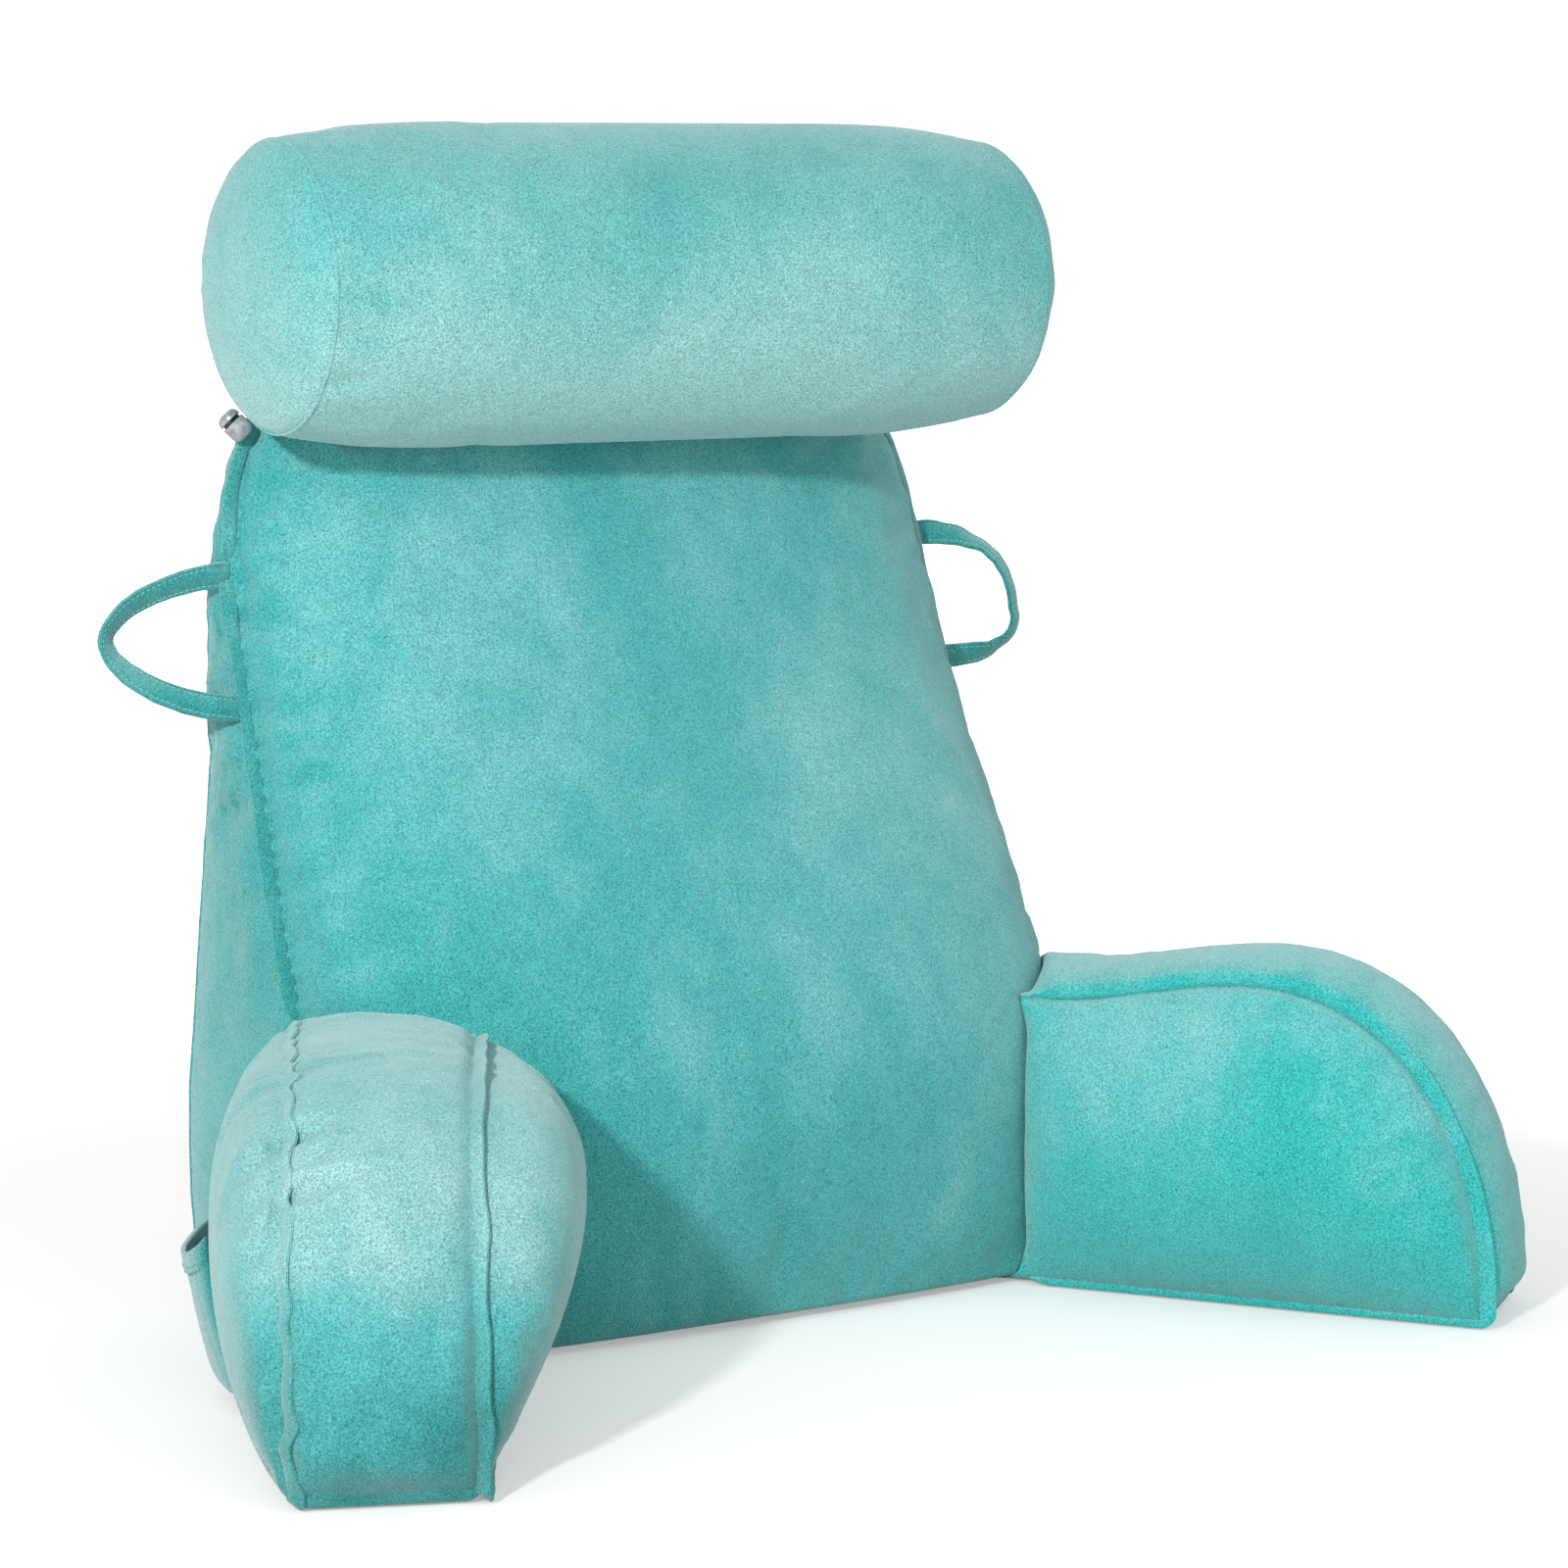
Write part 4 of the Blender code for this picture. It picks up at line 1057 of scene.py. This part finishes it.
def make_handle(row, back):
    behind = Vector((0, STRAP_BEHIND, 0))
    high, low = seam_at(row.high, row.side) + behind, seam_at(row.low, row.side) + behind
    heading = Vector((row.side * math.cos(row.heading), math.sin(row.heading), 0))
    normal = heading.cross(Vector((0, 0, 1)))
    centre = []
    for step in range(STRAP_STEPS + 1):
        turn = math.pi * step / STRAP_STEPS
        power = 2 / row.roundness
        out = row.reach * max(math.sin(turn), 0.0) ** power
        rise = math.copysign(abs(math.cos(turn)) ** power, math.cos(turn))
        swing = Vector((row.side * math.cos(row.heading) * out,
                        math.sin(row.heading) * out * out / row.reach, 0))
        centre.append(high.lerp(low, (1 - rise) / 2) + swing)
    section = []
    for k in range(STRAP_SIDES):
        turn = 2 * math.pi * k / STRAP_SIDES
        c, s = math.cos(turn), math.sin(turn)
        wide = math.copysign(abs(c) ** STRAP_SQUARE[0], c) * STRAP_WIDTH / 2
        thick = math.copysign(abs(s) ** STRAP_SQUARE[1], s) * STRAP_THICK / 2
        groove = math.exp(-(((abs(wide) - STRAP_SEAM) / STRAP_GROOVE_WIDTH) ** 2))
        thick *= 1 - STRAP_GROOVE * groove
        section.append((wide, thick))
    points = []
    lines = [[], [], [], []]
    last = len(centre) - 1
    for k, p in enumerate(centre):
        ahead = (centre[min(k + 1, last)] - centre[max(k - 1, 0)]).normalized()
        place = k / last
        share = ease(min(place, 1 - place) / row.twist)
        angle = math.radians(row.root_turn + (row.tip_turn - row.root_turn) * share)
        in_plane = ahead.cross(normal).normalized()
        wide = normal * math.cos(angle) + in_plane * math.sin(angle)
        thick = ahead.cross(wide).normalized()
        crumple = 1 + STRAP_CRUMPLE * noise.noise(p * 90)
        bend = thick * STRAP_BEND * noise.noise(p * 120 + Vector((0, 0, 5)))
        points += [p + wide * w * crumple + thick * t + bend for w, t in section]
        if 4 < k < last - 4:
            for line, (edge, face) in zip(lines, ((-1, -1), (1, -1), (-1, 1), (1, 1))):
                line.append((p + wide * edge * STRAP_SEAM * crumple + bend
                             + thick * face * STRAP_THICK * 0.32, thick * face))
    shape = (len(centre), len(section))
    made = piece(row.name + "_strap", points, end_faces(*shape) + tube_faces(*shape), TRIM_VELVET)
    keep_clear(made, back)
    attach(made, "root")
    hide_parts(row.name)
    make_stitches(row.name + "_stitches", lines, made)


# ---- stopper
def finish_stopper():
    """Clear grey plastic, with painted shade: near black in the slot across the barrel."""
    made = frame["nodes"]["stopper"]
    finish, tree, shader = material("smoky plastic", (
        ("Roughness", 0.14), ("Transmission Weight", 0.35), ("Coat Weight", 0.6)))
    axis = Euler(STOPPER_TURN).to_matrix() @ Vector((1, 0, 0))
    place = node(tree, "ShaderNodeTexCoord").outputs["Object"]
    along = node(tree, "ShaderNodeVectorMath", ((0, place), (1, axis)), operation="DOT_PRODUCT")
    past = maths(tree, "SUBTRACT", along.outputs["Value"], axis.dot(STOPPER_AT) + STOPPER_SLOT_AT)
    # Painted shade: the slot across the barrel is coloured near black.
    inside = maths(tree, "LESS_THAN", maths(tree, "ABSOLUTE", past), STOPPER_SLOT / 2)
    cloudy = node(tree, "ShaderNodeTexNoise", (
        ("Scale", 160.0), ("Detail", 2.0), ("Vector", place))).outputs["Fac"]
    tone = ramp(tree, cloudy, (0.35, (0.30, 0.34, 0.38)), (0.65, (0.72, 0.76, 0.80)))
    dark = node(tree, "ShaderNodeMix", (
        ("Factor", inside), ("A", tone), ("B", (0.01, 0.01, 0.012, 1))), data_type="RGBA")
    tree.links.new(dark.outputs["Result"], shader.inputs["Base Color"])
    made.data.materials.clear()
    made.data.materials.append(finish)


# ---- put together
roll, roll_seams = make_roll()
for n, (seam, radius) in enumerate(zip(roll_seams, ROLL_WELTS)):
    make_welt(f"roll_welt_{n}", seam, radius, ROLL_VELVET, roll)
back, back_seams = make_back(roll)
# The back's front seam allowance takes the darker strap velvet, as painted shade for the lip lying
# in the seam's shadow.
make_lip("back_lip_front", back_seams[0], lambda p: p.j > BACK_LIP_FROM, BACK_FRONT_LIP,
         TRIM_VELVET, 1.0, back)
make_welt("back_welt_rear", back_seams[1], BACK_WELT, BACK_VELVET, back)
for arm in (LEFT_ARM, RIGHT_ARM):
    cover, seams = make_arm(arm, back)
    for kind, seam, row in zip(("inner", "outer"), seams, ARM_LOOKS[arm].lips):

        def shows(p, arm=arm):
            rear = p.i if arm.mirror > 0 else 1 - p.i
            return rear > ARM_LIP_FROM

        make_lip(f"{arm.name}_lip_{kind}", seam, shows, row, ARM_LOOKS[arm].velvet,
                 len(kind) + arm.mirror, cover)
for row in HANDLES:
    make_handle(row, back)
make_pocket()
finish_stopper()

# ---- floor, light, camera
FAR = 40  # half the floor's size
FLOOR_AT = -0.0005  # just under the pillow

floor_mesh = bpy.data.meshes.new("floor")
floor_mesh.from_pydata(
    [(-FAR, -FAR, 0), (FAR, -FAR, 0), (FAR, FAR, 0), (-FAR, FAR, 0)], [], [[0, 1, 2, 3]])
pale = plain("pale floor", (0.82, 0.785, 0.775), 0.9)
tree = pale.node_tree
shaded = tree.nodes["Principled BSDF"].outputs[0]
place = node(tree, "ShaderNodeTexCoord").outputs["Object"]
spread = node(tree, "ShaderNodeVectorMath", [(0, place)], operation="LENGTH")
fade = node(tree, "ShaderNodeMapRange", (
    ("Value", spread.outputs["Value"]), ("From Min", 0.5), ("From Max", 1.8), ("To Min", 0.36),
    ("To Max", 1.0)), interpolation_type="SMOOTHSTEP")
glow = node(tree, "ShaderNodeEmission", [("Strength", fade.outputs["Result"])])
both = node(tree, "ShaderNodeAddShader", ((0, shaded), (1, glow.outputs[0])))
seen = node(tree, "ShaderNodeLightPath").outputs["Is Camera Ray"]
either = node(tree, "ShaderNodeMixShader", ((0, seen), (1, shaded), (2, both.outputs[0])))
tree.links.new(either.outputs[0], tree.nodes["Material Output"].inputs[0])
floor_mesh.materials.append(pale)
floor = add("floor", floor_mesh)
floor.location.z = FLOOR_AT

world = bpy.data.worlds.new("studio")
world.use_nodes = True
studio = world.node_tree
sky = studio.nodes["Background"]
sky.inputs["Color"].default_value = (1, 1, 1, 1)
sky.inputs["Strength"].default_value = 0.62
backdrop = node(studio, "ShaderNodeBackground", (("Color", (1, 1, 1, 1)), ("Strength", 1.0)))
seen = node(studio, "ShaderNodeLightPath").outputs["Is Camera Ray"]
either = node(studio, "ShaderNodeMixShader", (
    (0, seen), (1, sky.outputs[0]), (2, backdrop.outputs[0])))
studio.links.new(either.outputs[0], studio.nodes["World Output"].inputs[0])
bpy.context.scene.world = world


def lamp(name, at, towards, size, power):
    data = bpy.data.lights.new(name, "AREA")
    data.shape = "SQUARE"
    data.size = size
    data.energy = power
    made = add(name, data)
    made.location = at
    made.rotation_euler = (Vector(towards) - Vector(at)).to_track_quat("-Z", "Y").to_euler()


lamp("key", (-2.56, -1.97, 1.56), (0, 0, 0.12), 0.20, 66)
lamp("fill", (1.2, -2.8, 1.6), (0, 0, 0.2), 2.0, 8)

camera_data = bpy.data.cameras.new("camera")
camera_data.lens = CAMERA_LENS
camera = add("camera", camera_data)
camera.location = CAMERA_AT
camera.rotation_euler = CAMERA_TURN
bpy.context.scene.camera = camera
bpy.context.scene.view_settings.view_transform = "Standard"
